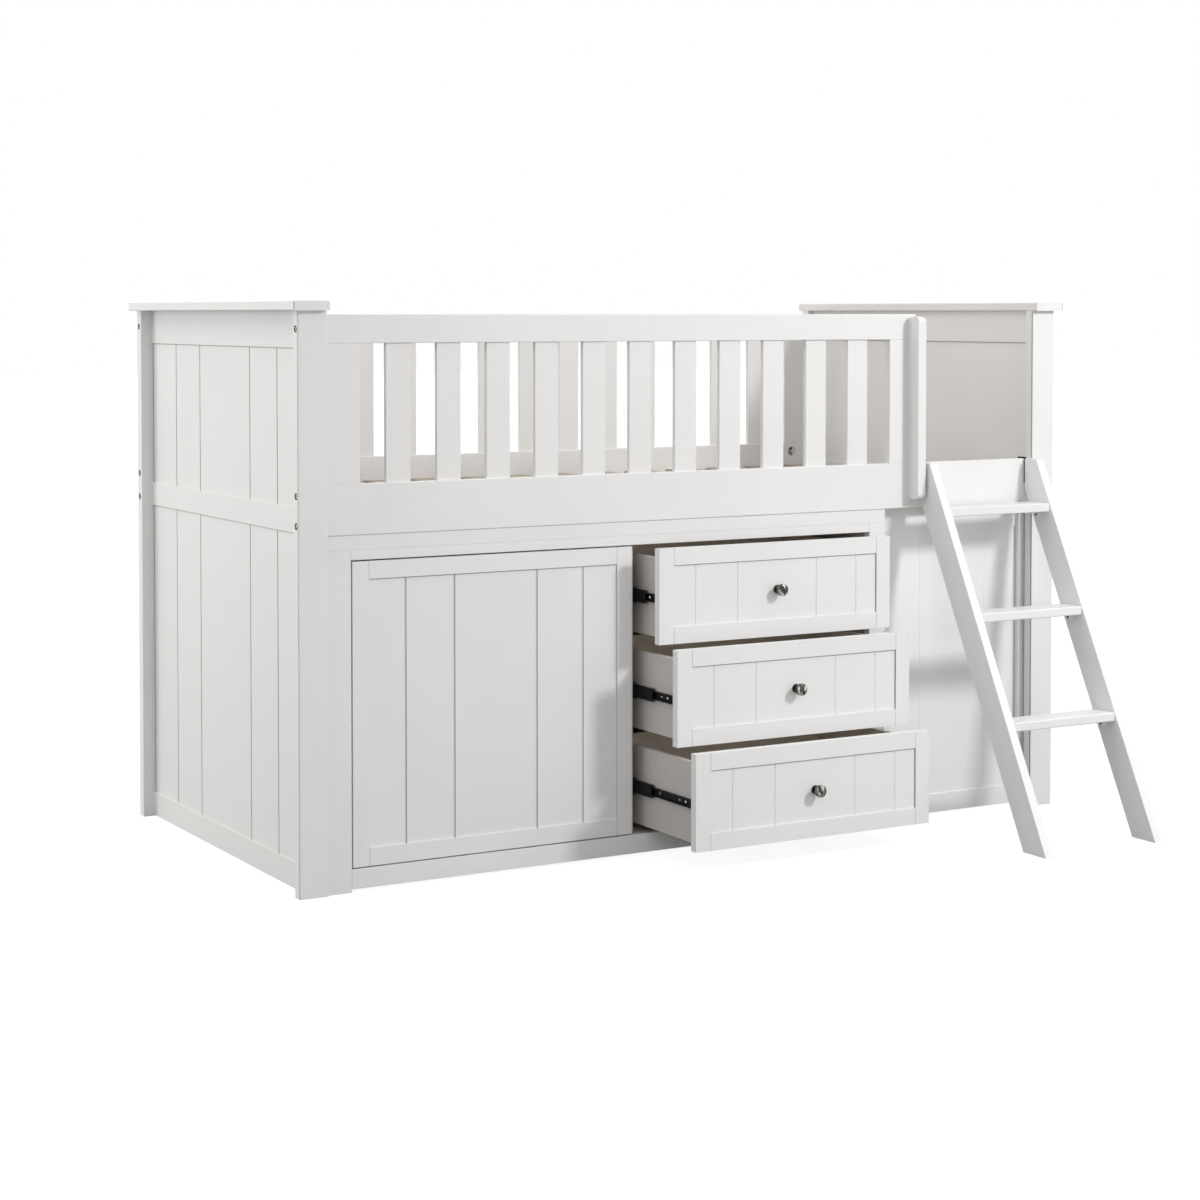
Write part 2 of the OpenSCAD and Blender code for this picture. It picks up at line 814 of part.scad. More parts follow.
// Half-moon nut, its round side towards the post and a hexagon on its flat.
module cross_nut(z) {
    x = left_in + nut_in;
    y = rail_back - nut_hole_depth;
    difference() {
        union() {
            intersection() {
                translate([x, y, z]) rod_y(moon_d - 2 * fit, nut_l);
                block([x - moon_d, y, z - moon_d], [x - moon_flat, y + nut_l, z + moon_d]);
            }
            translate([x - moon_flat, bolt_y, z]) rotate([0, 90, 0])
                cylinder(d = nut_d, h = nut_h, $fn = 6);
        }
        translate([left_in, bolt_y, z]) rod_x(bolt_d + 2 * fit, nut_in + nut_h);
    }
}

module cross_nuts() {
    place() color(zinc) {
        for (z = front_bolts) cross_nut(z);
        for (z = front_rail_bolts) at_right() cross_nut(z);
        for (z = rear_bolts) {
            at_back() cross_nut(z);
            at_right() at_back() cross_nut(z);
        }
    }
}

// ---------------------------------------------------------------- cabinet

module cabinet_filler() {
    place() color(paint)
        block([cabinet_x, face_y, cabinet_top], [cabinet_end, face_back, rail_z]);
}

// Two stiles down to the floor, a top rail and a plinth rail.
module cabinet_face_frame() {
    place() color(paint) {
        block([cabinet_x, face_y, 0], [opening_x, face_back, cabinet_top]);
        block([opening_end, face_y, 0], [cabinet_end, face_back, cabinet_top]);
        block([opening_x + joint, face_y, opening_top], [opening_end - joint, face_back, cabinet_top]);
        block([opening_x + joint, face_y, plinth_gap], [opening_end - joint, face_back, opening_z]);
    }
}

// Holes for the shelf pins, drilled along X from the plane x.
module pin_holes(x) {
    for (y = pin_y)
        translate([x - pin_l / 2 - fit, y, pin_z]) rod_x(pin_d + 2 * fit, pin_l + 2 * fit);
}

module cabinet_left_side() {
    place() color(liner) difference() {
        block([opening_x - board_t, face_back, 0], [opening_x, carcass_inside, cabinet_top]);
        pin_holes(opening_x);
    }
}

module cabinet_partition() {
    place() color(liner) difference() {
        block([partition_x, partition_y, opening_z], [bay_x, carcass_inside, roof_z]);
        pin_holes(partition_x);
    }
}

module cabinet_right_side() {
    place() color(liner)
        block([opening_end, face_back, 0], [opening_end + board_t, carcass_inside, cabinet_top]);
}

module cabinet_floor() {
    place() color(liner)
        block([opening_x, face_back, floor_z], [opening_end, carcass_inside, opening_z]);
}

module cabinet_top() {
    place() color(liner)
        block([opening_x, face_back, roof_z], [opening_end, carcass_inside, cabinet_top]);
}

module cabinet_back() {
    place() color(liner)
        block([opening_x - board_t, carcass_inside, floor_z],
            [opening_end + board_t, carcass_back, cabinet_top]);
}

module cupboard_shelf() {
    place() color(liner)
        block([opening_x + board_play, shelf_y, shelf_z],
            [partition_x - board_play, carcass_inside - 2 * board_play, shelf_z + shelf_t]);
}

module shelf_pins() {
    place() color(zinc)
        for (x = [opening_x, partition_x], y = pin_y)
            translate([x - pin_l / 2, y, pin_z]) rod_x(pin_d, pin_l);
}

// The infill closes the space behind the ladder, with rails above and below.
module infill_rails() {
    z_low = infill_gap + infill_bottom_h;
    z_high = infill_top - infill_top_h;
    place() color(paint) difference() {
        union() {
            block([infill_x, infill_y, infill_gap], [infill_end, infill_y + face_t, z_low]);
            block([infill_x, infill_y, z_high], [infill_end, infill_y + face_t, infill_top]);
        }
        block([infill_x - eps, infill_panel_y, z_low - tongue],
            [infill_end + eps, infill_panel_y + panel_t, z_high + tongue]);
    }
}

module infill_panel() {
    w = infill_end - infill_x;
    m = infill_mid_x - infill_x;
    z0 = infill_gap + infill_bottom_h - tongue + fit;
    z1 = infill_top - infill_top_h + tongue - fit;
    vees = [for (v = [-infill_vee_out, -infill_vee_in, infill_vee_in, infill_vee_out]) m + v];
    place() color(paint_panel) translate([infill_x, infill_panel_y + joint, z0])
        linear_extrude(z1 - z0) vee_plan(w, vees, panel_t - 2 * joint, true);
}

// Upright batten between the infill and the panels of the right end.
module infill_batten() {
    place() color(paint)
        block([infill_end - batten_w, infill_y - batten_t, infill_gap], [infill_end, infill_y, infill_top]);
}

// --------------------------------------------------- framed, panelled fronts

// Upright member with a groove along its inner edge; side is 0 left, 1 right.
module front_stile(h, side) {
    groove_x = side == 0 ? member_w - tongue : -eps;
    difference() {
        cube([member_w, face_t, h]);
        translate([groove_x, panel_setback, -eps]) cube([tongue + eps, panel_t, h + 2 * eps]);
    }
}

// Level member between the stiles; side is 0 below the panel, 1 above it. Its
// stub tenons are as thick as the panel and go in the stiles' grooves.
module front_rail(l, side) {
    reach = tongue - fit;
    groove_z = side == 0 ? member_w - tongue : -eps;
    difference() {
        union() {
            translate([joint, 0, 0]) cube([l - 2 * joint, face_t, member_w]);
            translate([-reach, panel_setback + joint, 0])
                cube([l + 2 * reach, panel_t - 2 * joint, member_w]);
        }
        translate([-tongue, panel_setback, groove_z])
            cube([l + 2 * tongue, panel_t, tongue + eps]);
    }
}

// The four members of a front that is w wide and h high.
module front_members(w, h) {
    l = w - 2 * member_w;
    color(paint) {
        front_stile(h, 0);
        translate([w - member_w, 0, 0]) front_stile(h, 1);
        translate([member_w, 0, 0]) front_rail(l, 0);
        translate([member_w, 0, h - member_w]) front_rail(l, 1);
    }
}

// The grooved panel of such a front, free in the members' grooves.
module front_panel(w, h, vee_in, vee_out) {
    reach = tongue - fit;
    pw = w - 2 * member_w + 2 * reach;
    ph = h - 2 * member_w + 2 * reach;
    vees = [for (v = [-vee_out, -vee_in, vee_in, vee_out]) pw / 2 + v];
    color(paint_panel) translate([member_w - reach, panel_setback + joint, member_w - reach])
        linear_extrude(ph) vee_plan(pw, vees, panel_t - 2 * joint, false);
}

// ------------------------------------------------------------ cupboard door

hinge_zs = [door_z + hinge_in, door_z + door_h - hinge_in];

module door_frame() {
    place() difference() {
        translate([door_x, face_y, door_z]) front_members(door_w, door_h);
        for (z = hinge_zs)
            translate([door_x + cup_in, face_back - cup_depth - fit, z])
                rod_y(cup_d + 2 * fit, cup_depth + fit + eps);
    }
}

module door_panel() {
    place() translate([door_x, face_y, door_z])
        front_panel(door_w, door_h, door_vee_in, door_vee_out);
}

// Round cups let into the back of the door's left stile.
module hinge_cups() {
    place() color(zinc)
        for (z = hinge_zs)
            translate([door_x + cup_in, face_back - cup_depth, z]) difference() {
                rod_y(cup_d, cup_depth);
                translate([0, cup_wall, 0]) rod_y(cup_d - 2 * cup_wall, cup_depth);
            }
}

// Arms screwed to the carcass side, reaching over the cups.
module hinge_arms() {
    plate_x = opening_x + arm_plate_t;
    plate_y = face_back + arm_plate_in;
    arm_y = face_back + door_clear;
    place() color(zinc)
        for (z = hinge_zs) {
            block([opening_x, plate_y, z - arm_h / 2],
                [plate_x, plate_y + arm_plate_l, z + arm_h / 2]);
            block([plate_x, arm_y, z - arm_h / 4],
                [door_x + cup_in, arm_y + arm_t, z + arm_h / 4]);
        }
}

// Magnet under the cabinet's top, behind the door's free edge.
module magnet_catch() {
    x = door_x + door_w - 3 * catch_s;
    y = face_back + door_clear;
    place() color(zinc)
        block([x, y, roof_z - catch_s], [x + 2 * catch_s, y + 1.5 * catch_s, roof_z]);
}

// ----------------------------------------------------------------- drawers

// What moves with drawer i, drawn closed, is moved out by how far it is open.
module at_drawer(i) {
    place() translate([0, -drawer_open[i], drawer_zs[i]]) children();
}

module drawer_front(i) {
    at_drawer(i) translate([drawer_x, face_y, 0]) {
        front_members(drawer_w, drawer_h);
        front_panel(drawer_w, drawer_h, drawer_vee_in, drawer_vee_out);
    }
}

// One wall of a drawer box, l long along X, with a groove for the bottom.
module box_wall(l, groove_x, groove_l) {
    difference() {
        cube([l, box_t, box_h]);
        translate([groove_x, box_t - box_groove, box_bottom_up])
            cube([groove_l, box_groove + eps, box_bottom_t]);
    }
}

// Four walls and a bottom that is let into them, with the front wall at Y = 0.
module drawer_box(i) {
    inside_w = box_w - 2 * box_t;
    reach = box_groove - fit;
    at_drawer(i) color(liner) translate([box_x, face_back, box_up]) {
        for (side = [0, 1])
            translate([side * box_w, 0, 0]) mirror([side, 0, 0])
                translate([0, slide_l, 0]) rotate(-90)
                    box_wall(slide_l, box_t - box_groove, slide_l - 2 * (box_t - box_groove));
        translate([box_t + joint, 0, 0])
            box_wall(inside_w - 2 * joint, -eps, inside_w + 2 * eps);
        translate([box_t + joint, slide_l, 0]) mirror([0, 1, 0])
            box_wall(inside_w - 2 * joint, -eps, inside_w + 2 * eps);
        translate([box_t - reach, box_t - reach, box_bottom_up + joint])
            cube([inside_w + 2 * reach, slide_l - 2 * (box_t - reach), box_bottom_t - 2 * joint]);
    }
}

// Round knob: foot, neck and a head with a rounded rim.
module drawer_knob(i) {
    neck_r = knob_neck_d / 2;
    head_r = knob_d / 2;
    head_z = knob_h - knob_head_t;
    flat_r = head_r - knob_rim_r;
    at_drawer(i) translate([drawer_x + drawer_w / 2, face_y + panel_setback, drawer_h / 2])
        rotate([90, 0, 0]) color(nickel) rotate_extrude() {
            square([knob_foot_d / 2, knob_foot_t]);
            square([neck_r, head_z + 1]);
            translate([0, head_z]) square([flat_r, knob_head_t]);
            translate([0, head_z + knob_rim_r]) square([head_r, knob_head_t - 2 * knob_rim_r]);
            for (z = [head_z + knob_rim_r, knob_h - knob_rim_r])
                translate([flat_r, z]) circle(knob_rim_r);
        }
}

// A channel of height h, from x0 to x1, closed at x0 by its web.
module channel(x0, x1, h) {
    difference() {
        translate([x0, -h / 2]) square([x1 - x0, h]);
        translate([x0 + slide_wall, slide_wall - h / 2]) square([x1, h - 2 * slide_wall]);
    }
}

// Draws a slide member for both sides of the drawer bay.
module both_sides(i) {
    place() translate([bay_x, 0, middle_zs[i]]) children();
    place() translate([opening_end, 0, middle_zs[i]]) mirror([1, 0, 0]) children();
}

module outer_slides() {
    x1 = slide_t - slide_wall - slide_gap;
    color(black_steel) for (i = [0:2])
        both_sides(i) translate([0, outer_y, 0]) drawn_y(slide_l) channel(0, x1, slide_h);
}

module middle_slides(i) {
    x0 = slide_wall + slide_gap;
    x1 = slide_t - slide_wall - slide_gap;
    color(black_steel) both_sides(i)
        translate([0, middle_y - middle_open[i], 0]) drawn_y(slide_l) channel(x0, x1, middle_h);
}

// The inner member is turned over, with its web against the drawer box.
module inner_slides(i) {
    x0 = 2 * (slide_wall + slide_gap);
    color(black_steel) both_sides(i)
        translate([slide_t, slide_y - drawer_open[i], 0]) mirror([1, 0, 0])
            drawn_y(slide_l - inner_short) channel(0, slide_t - x0, inner_h);
}

// ------------------------------------------------------------------ ladder

// Side outline of a ladder stile, in Y and Z.
module stile_outline() {
    polygon([
        [foot_front, 0],
        [foot_back, 0],
        [0, ladder_cut_z],
        [0, ladder_top],
        [foot_front + ladder_run * ladder_top, ladder_top]
    ]);
}

// Outline of a tread with a rounded front edge, in Y and Z.
module tread_outline(z, grow) {
    y0 = foot_front + ladder_run * (z + tread_t);
    y1 = foot_back + ladder_run * z;
    translate([y0 - grow, z - grow])
        round_rect(y1 - y0 + 2 * grow, tread_t + 2 * grow, tread_r);
}

module ladder_stile() {
    color(paint) difference() {
        drawn_x(ladder_stile_t) stile_outline();
        for (z = tread_zs)
            translate([ladder_stile_t - housing - fit, 0, 0])
                drawn_x(housing + fit + eps) tread_outline(z, fit);
    }
}

module ladder_left_stile() {
    place() translate([ladder_x, 0, 0]) ladder_stile();
}

module ladder_right_stile() {
    place() translate([ladder_x + ladder_w, 0, 0]) mirror([1, 0, 0]) ladder_stile();
}

module ladder_treads() {
    place() color(paint)
        for (z = tread_zs)
            translate([tread_x - housing, 0, 0]) drawn_x(tread_l + 2 * housing) tread_outline(z, 0);
}

// Blocks with a cross screw in the corners under the treads.
module ladder_blocks() {
    place() color(paint)
        for (z = tread_zs, side = [0, 1]) {
            x = side == 0 ? tread_x : tread_x + tread_l - block_s;
            y = foot_back + ladder_run * z - ladder_flat * block_place;
            translate([x, y, z - block_s]) difference() {
                cube(block_s);
                translate([-eps, block_s / 2, block_s / 2]) rod_x(block_screw_d, block_s + 2 * eps);
            }
        }
}

// One hook of flat steel: a strap behind the stile, and a narrow arm over the
// side rail with a lip down its back. X = 0 is the inner face of the stile.
module hook() {
    y0 = (rail_setback - hook_t) / 2;
    y1 = rail_back + hook_gap;
    z0 = rail_top + hook_gap;
    foot_z = rail_top - hook_strap;
    block([0, y0, foot_z], [hook_w, y0 + hook_t, ladder_top - hook_drop]);
    block([0, y0, foot_z], [hook_arm_w, y0 + hook_t, z0 + hook_t]);
    block([0, y0, z0], [hook_arm_w, y1 + hook_t, z0 + hook_t]);
    block([0, y1, z0 - hook_lip], [hook_arm_w, y1 + hook_t, z0 + hook_t]);
}

// The two hooks that hang the ladder on the side rail.
module ladder_hooks() {
    place() color(black_steel) {
        translate([tread_x, 0, 0]) mirror([1, 0, 0]) hook();
        translate([tread_x + tread_l, 0, 0]) hook();
    }
}

left_front_post();
left_rear_post();
right_front_post();
right_rear_post();
left_cap();
right_cap();
left_end_rails();
right_end_rails();
left_end_panels();
right_end_panels();
front_side_rail();
rear_side_rail();
front_guard_rail();
rear_guard_rail();
front_guard_slats();
rear_guard_slats();
grab_post();
slat_ledgers();
mattress_slats();
frame_bolts();
cross_nuts();
cabinet_filler();
cabinet_face_frame();
cabinet_left_side();
cabinet_partition();
cabinet_right_side();
cabinet_floor();
cabinet_top();
cabinet_back();
cupboard_shelf();
shelf_pins();
infill_rails();
infill_panel();
infill_batten();
outer_slides();
hinge_arms();
magnet_catch();
door_frame();
door_panel();
hinge_cups();
drawer_front(0);  // drawer_1_front
drawer_front(1);  // drawer_2_front
drawer_front(2);  // drawer_3_front
drawer_box(0);  // drawer_1_box
drawer_box(1);  // drawer_2_box
drawer_box(2);  // drawer_3_box
drawer_knob(0);  // drawer_1_knob
drawer_knob(1);  // drawer_2_knob
drawer_knob(2);  // drawer_3_knob
inner_slides(0);  // drawer_1_inner_slides
inner_slides(1);  // drawer_2_inner_slides
inner_slides(2);  // drawer_3_inner_slides
middle_slides(0);  // drawer_1_middle_slides
middle_slides(1);  // drawer_2_middle_slides
middle_slides(2);  // drawer_3_middle_slides
ladder_left_stile();
ladder_right_stile();
ladder_treads();
ladder_blocks();
ladder_hooks();
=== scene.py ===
import math
from collections import namedtuple

import bmesh
import bpy
from mathutils import Matrix, Vector


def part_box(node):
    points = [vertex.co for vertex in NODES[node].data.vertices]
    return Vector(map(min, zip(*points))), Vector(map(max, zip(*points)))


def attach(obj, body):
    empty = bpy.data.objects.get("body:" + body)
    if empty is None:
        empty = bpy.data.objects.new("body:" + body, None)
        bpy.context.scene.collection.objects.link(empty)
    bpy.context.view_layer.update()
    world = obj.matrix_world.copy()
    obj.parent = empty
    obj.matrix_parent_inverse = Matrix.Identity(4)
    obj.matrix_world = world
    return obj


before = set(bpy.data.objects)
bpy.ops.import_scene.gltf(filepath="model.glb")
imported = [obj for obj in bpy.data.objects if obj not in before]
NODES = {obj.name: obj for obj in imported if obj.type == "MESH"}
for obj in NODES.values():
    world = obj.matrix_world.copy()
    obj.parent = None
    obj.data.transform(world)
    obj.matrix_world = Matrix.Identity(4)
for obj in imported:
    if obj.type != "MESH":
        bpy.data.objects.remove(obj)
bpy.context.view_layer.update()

# Lengths are in metres and angles in degrees, unless a name says otherwise.

# The camera stands in front of the bed and to its left, about as high as its posts
CAMERA_PLACE = (-2.9497, -4.9174, 1.2147)
CAMERA_TURN = -29.817
CAMERA_DOWN = 1.94
CAMERA_LENS_MM = 73.14
CAMERA_SENSOR_MM = 36.0
CAMERA_SHIFT_Y = -0.1707
CAMERA_FAR = 100.0

# Edges of the CAD nodes: how wide they are eased, and from which angle on
WOOD_EDGE = 0.0009
METAL_EDGE = 0.0003
EDGE_SEGMENTS = 2
SMOOTH_ANGLE = 30.0
WELD_REACH = 0.00001

# Sizes of the real pieces that the finishes follow
MEMBER_W = 0.038
KNOB_HEAD_T = 0.011
KNOB_R = 0.0135

# Depth at which a drawer box's inner foil starts, just short of its wall's 12 mm
INNER_FOIL_DEPTH = 0.0118

WHITE_LIGHT = (1.0, 1.0, 1.0)
WARM_LIGHT = (1.0, 0.985, 0.965)
COOL_LIGHT = (0.99, 0.99, 1.0)


# ---------------------------------------------------------------- node helpers

# The Mix node's sockets for each kind of data: first input, second input, result
MIX_SOCKETS = {"VECTOR": (4, 5, 1), "RGBA": (6, 7, 2)}

# Limits between which a noise mostly lies
NOISE_LOW = 0.3
NOISE_HIGH = 0.7

# Part of a drawn line's half width that has its full tone
LINE_CORE = 0.6


def new_material(name):
    mat = bpy.data.materials.new(name)
    mat.use_nodes = True
    return mat, mat.node_tree


def link(tree, source, target):
    tree.links.new(source, target)


def feed(tree, value, socket):
    """Gives a socket a number, a colour or another node's output."""
    if isinstance(value, (int, float)):
        socket.default_value = value
    elif isinstance(value, tuple):
        socket.default_value = (*value, 1.0)
    else:
        link(tree, value, socket)


def object_coords(tree):
    return tree.nodes.new("ShaderNodeTexCoord").outputs["Object"]


def component(tree, vector, axis):
    parts = tree.nodes.new("ShaderNodeSeparateXYZ")
    link(tree, vector, parts.inputs["Vector"])
    return parts.outputs[axis]


def scaled(tree, vector, scale):
    node = tree.nodes.new("ShaderNodeMapping")
    node.inputs["Scale"].default_value = scale
    link(tree, vector, node.inputs["Vector"])
    return node.outputs["Vector"]


def noise(tree, vector, scale, detail, rough=0.5, distortion=0.0):
    node = tree.nodes.new("ShaderNodeTexNoise")
    node.inputs["Scale"].default_value = scale
    node.inputs["Detail"].default_value = detail
    node.inputs["Roughness"].default_value = rough
    node.inputs["Distortion"].default_value = distortion
    link(tree, vector, node.inputs["Vector"])
    return node.outputs["Fac"]


def remap(tree, value, low, high, to_low, to_high):
    node = tree.nodes.new("ShaderNodeMapRange")
    node.inputs["From Min"].default_value = low
    node.inputs["From Max"].default_value = high
    node.inputs["To Min"].default_value = to_low
    node.inputs["To Max"].default_value = to_high
    link(tree, value, node.inputs["Value"])
    return node.outputs["Result"]


def math_node(tree, operation, first, second=None):
    node = tree.nodes.new("ShaderNodeMath")
    node.operation = operation
    feed(tree, first, node.inputs[0])
    if second is not None:
        feed(tree, second, node.inputs[1])
    return node.outputs["Value"]


def vector_math(tree, operation, vector, other=None):
    node = tree.nodes.new("ShaderNodeVectorMath")
    node.operation = operation
    link(tree, vector, node.inputs[0])
    if other is not None:
        node.inputs[1].default_value = other
    return node.outputs["Value" if operation == "LENGTH" else "Vector"]


def blend(tree, first, second, share):
    """A share of one value and the rest of another."""
    return math_node(tree, "ADD", math_node(tree, "MULTIPLY", first, share),
                     math_node(tree, "MULTIPLY", second, 1.0 - share))


def ramp(tree, value, stops):
    node = tree.nodes.new("ShaderNodeValToRGB")
    elements = node.color_ramp.elements
    while len(elements) < len(stops):
        elements.new(0.5)
    for element, (place, colour) in zip(elements, stops):
        element.position = place
        element.color = (*colour, 1.0)
    link(tree, value, node.inputs["Fac"])
    return node.outputs["Color"]


def mix(tree, kind, factor, first, second):
    """Goes from the first vector or colour to the second as the factor goes from 0 to 1."""
    node = tree.nodes.new("ShaderNodeMix")
    node.data_type = kind
    first_socket, second_socket, result = MIX_SOCKETS[kind]
    feed(tree, factor, node.inputs["Factor"])
    feed(tree, first, node.inputs[first_socket])
    feed(tree, second, node.inputs[second_socket])
    return node.outputs[result]


def mix_colour(tree, factor, first, second):
    return mix(tree, "RGBA", factor, first, second)


def bump(tree, height, distance, strength, normal=None):
    node = tree.nodes.new("ShaderNodeBump")
    node.inputs["Strength"].default_value = strength
    node.inputs["Distance"].default_value = distance
    link(tree, height, node.inputs["Height"])
    if normal is not None:
        link(tree, normal, node.inputs["Normal"])
    return node.outputs["Normal"]


def inside(tree, coords, axis, low, high):
    """1 where the coordinate along an axis lies between low and high, else 0."""
    value = component(tree, coords, axis)
    return math_node(tree, "MULTIPLY", math_node(tree, "GREATER_THAN", value, low),
                     math_node(tree, "LESS_THAN", value, high))


def near(tree, coords, axis, place, half):
    """1 on a plane across an axis, falling to 0 at the given half width away from it."""
    offset = math_node(tree, "SUBTRACT", component(tree, coords, axis), place)
    away = math_node(tree, "ABSOLUTE", offset)
    return remap(tree, away, half * LINE_CORE, half, 1.0, 0.0)


def facing(tree, axis, low, high):
    """1 on walls that face along an axis, 0 on walls that lie along it."""
    normal = tree.nodes.new("ShaderNodeTexCoord").outputs["Normal"]
    tilt = math_node(tree, "ABSOLUTE", component(tree, normal, axis))
    return remap(tree, tilt, low, high, 0.0, 1.0)


def soft_rough(tree, pattern, low, high):
    """A roughness from low to high that follows a noise."""
    return remap(tree, pattern, NOISE_LOW, NOISE_HIGH, low, high)


def coat(mat, colour, roughness, relief, specular=0.5, metallic=0.0, ior=1.5):
    """Gives a material its surface and returns it."""
    tree = mat.node_tree
    shader = tree.nodes["Principled BSDF"]
    link(tree, colour, shader.inputs["Base Color"])
    feed(tree, roughness, shader.inputs["Roughness"])
    feed(tree, specular, shader.inputs["Specular IOR Level"])
    feed(tree, metallic, shader.inputs["Metallic"])
    feed(tree, ior, shader.inputs["IOR"])
    if relief is not None:
        link(tree, relief, shader.inputs["Normal"])
    return mat


# ---------------------------------------------------------------- lacquer

LACQUER = (0.815, 0.812, 0.806)
# A lighter copy of the lacquer for the infill behind the ladder: painted light that makes up for
# its shade
INFILL_LIT_LACQUER = (0.865, 0.862, 0.856)
PANEL_DARK = (0.788, 0.785, 0.78)
PANEL_LIGHT = (0.822, 0.82, 0.815)
DARK_TONE = 0.965
LIGHT_TONE = 1.022
LACQUER_ROUGH = (0.36, 0.46)
LACQUER_SPECULAR = 0.42
LACQUER_IOR = 1.47
CLOUD_SCALE = 3.2
GRAIN_DETAIL = 4.0
GRAIN_ROUGH = 0.62
GRAIN_SHARE = 0.4

# Scale of the grain along a member and across it
ALONG = 7.0
ACROSS = 190.0
GRAIN_SCALE = {
    "X": (ALONG, ACROSS, ACROSS),
    "Y": (ACROSS, ALONG, ACROSS),
    "Z": (ACROSS, ACROSS, ALONG),
}

# Half widths, places and colours of the lines that show where pieces meet; of the painted shadow
# lines below rails and the painted shade lines beside posts; of the painted shade in the recess
# beside a stile; and the colour of the painted shade on the walls of the panels' grooves
SEAM_HALF = 0.0005
SEAM_COLOUR = (0.30, 0.295, 0.285)
# Painted shadow just below rails and painted shade beside posts: half width and colour
SHADOW_LINE_HALF = 0.0014
SHADOW_LINE_COLOUR = (0.40, 0.395, 0.385)
# Half width of the painted shade line beside the rear post
SIDE_SHADE_HALF = 0.004
# Painted shade in the recess beside a frame's right stile
RECESS_SHADE_HALF = 0.0017
RECESS_SHADE_COLOUR = (0.50, 0.495, 0.485)
# Painted shade on the walls of the panels' grooves
GROOVE_SHADE_COLOUR = (0.36, 0.356, 0.348)
POST_SEAM_IN = 0.0036
POST_SEAM_HALF = 0.0022
CAP_SEAM_X = 0.0016
CAP_SEAM_Y = 0.004

# A line drawn across an axis, which runs from low to high along another axis
Line = namedtuple("Line", "axis place half run_axis low high colour")


def grain_coords(tree, coords, axis, rails):
    """Coordinates stretched along a member's length. rails = (low, high), the stretch
    of X in which the grain turns along X, where rails run between stiles."""
    run = scaled(tree, coords, GRAIN_SCALE[axis])
    if rails is None:
        return run
    mask = inside(tree, coords, "X", *rails)
    return mix(tree, "VECTOR", mask, run, scaled(tree, coords, GRAIN_SCALE["X"]))


def draw_lines(tree, coords, colour, lines):
    for line in lines:
        across = near(tree, coords, line.axis, line.place, line.half)
        along = inside(tree, coords, line.run_axis, line.low, line.high)
        mark = math_node(tree, "MULTIPLY", across, along)
        colour = mix_colour(tree, mark, colour, line.colour)
    return colour


def paint(name, axis, rails=None, grain=0.7, tint=LACQUER, lines=()):
    """Satin white lacquer on wood, through which the grain shows faintly."""
    mat, tree = new_material(name)
    coords = object_coords(tree)
    run = grain_coords(tree, coords, axis, rails)
    fibres = noise(tree, run, 1.0, GRAIN_DETAIL, GRAIN_ROUGH, distortion=0.25)
    clouds = noise(tree, coords, CLOUD_SCALE, detail=3.0)
    specks = noise(tree, coords, 950.0, detail=2.0)
    dark = tuple(c * DARK_TONE for c in tint)
    light = tuple(min(c * LIGHT_TONE, 1.0) for c in tint)
    tone = blend(tree, fibres, clouds, GRAIN_SHARE * grain)
    colour = ramp(tree, tone, [(0.3, dark), (0.5, tint), (0.72, light)])
    colour = draw_lines(tree, coords, colour, lines)
    peel = bump(tree, specks, distance=0.00006, strength=0.35)
    relief = bump(tree, fibres, distance=0.00022, strength=0.35 * grain + 0.02, normal=peel)
    return coat(mat, colour, soft_rough(tree, clouds, *LACQUER_ROUGH), relief,
                specular=LACQUER_SPECULAR, ior=LACQUER_IOR)


def panel_paint(name, groove_axis, tops=(), sides=()):
    """Lacquer on fibreboard: no grain, a fine orange peel, and painted shade on the walls of the
    grooves. tops = the heights of painted shadow lines just below a rail above the panel, and
    sides = the places along Y of painted shade lines beside a post."""
    mat, tree = new_material(name)
    coords = object_coords(tree)
    clouds = noise(tree, coords, 2.4, detail=3.0)
    specks = noise(tree, coords, 620.0, detail=2.0)
    colour = ramp(tree, clouds, [(0.3, PANEL_DARK), (0.7, PANEL_LIGHT)])
    # Painted shade: the walls of the grooves are darkened
    colour = mix_colour(tree, facing(tree, groove_axis, 0.2, 0.5), colour, GROOVE_SHADE_COLOUR)
    # Painted shadow lines just below the rails above the panel
    for top in tops:
        colour = mix_colour(tree, near(tree, coords, "Z", top, SHADOW_LINE_HALF), colour, SHADOW_LINE_COLOUR)
    # Painted shade lines along the panel's edge beside a post
    for side in sides:
        colour = mix_colour(tree, near(tree, coords, "Y", side, SIDE_SHADE_HALF), colour, SHADOW_LINE_COLOUR)
    relief = bump(tree, specks, distance=0.00008, strength=0.4)
    return coat(mat, colour, soft_rough(tree, clouds, 0.4, 0.48), relief, specular=0.4)


def stile_frame(node):
    """Paint for a frame of upright stiles with rails between them. It shows each stile's joints
    with the rails, a painted shadow line below the top rail and a painted shade line in the
    recess beside the right stile."""
    low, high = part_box(node)
    left = low.x + MEMBER_W
    right = high.x - MEMBER_W
    bottom = low.z + MEMBER_W
    top = high.z - MEMBER_W
    lines = []
    for place in (left, right):
        for start, end in ((low.z, bottom - WOOD_EDGE), (top + WOOD_EDGE, high.z)):
            lines.append(Line("X", place, SEAM_HALF, "Z", start, end, SEAM_COLOUR))
    # Painted shade line in the recess beside the right stile
    step = right - RECESS_SHADE_HALF / 2.0
    lines.append(Line("X", step, RECESS_SHADE_HALF, "Z", bottom, top, RECESS_SHADE_COLOUR))
    # Painted shadow line just below the top rail
    lines.append(Line("Z", top - SHADOW_LINE_HALF / 2.0, SHADOW_LINE_HALF, "X", left, right, SHADOW_LINE_COLOUR))
    return paint("paint_" + node, "Z", rails=(left, right), lines=lines)


def post_paint(node):
    """Paint for a front post, which shows a joint along its front edge."""
    low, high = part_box("left_front_post")
    seam = Line("Y", low.y + POST_SEAM_IN, POST_SEAM_HALF, "Z", low.z, high.z, SEAM_COLOUR)
    return paint("paint_" + node, "Z", lines=(seam,))


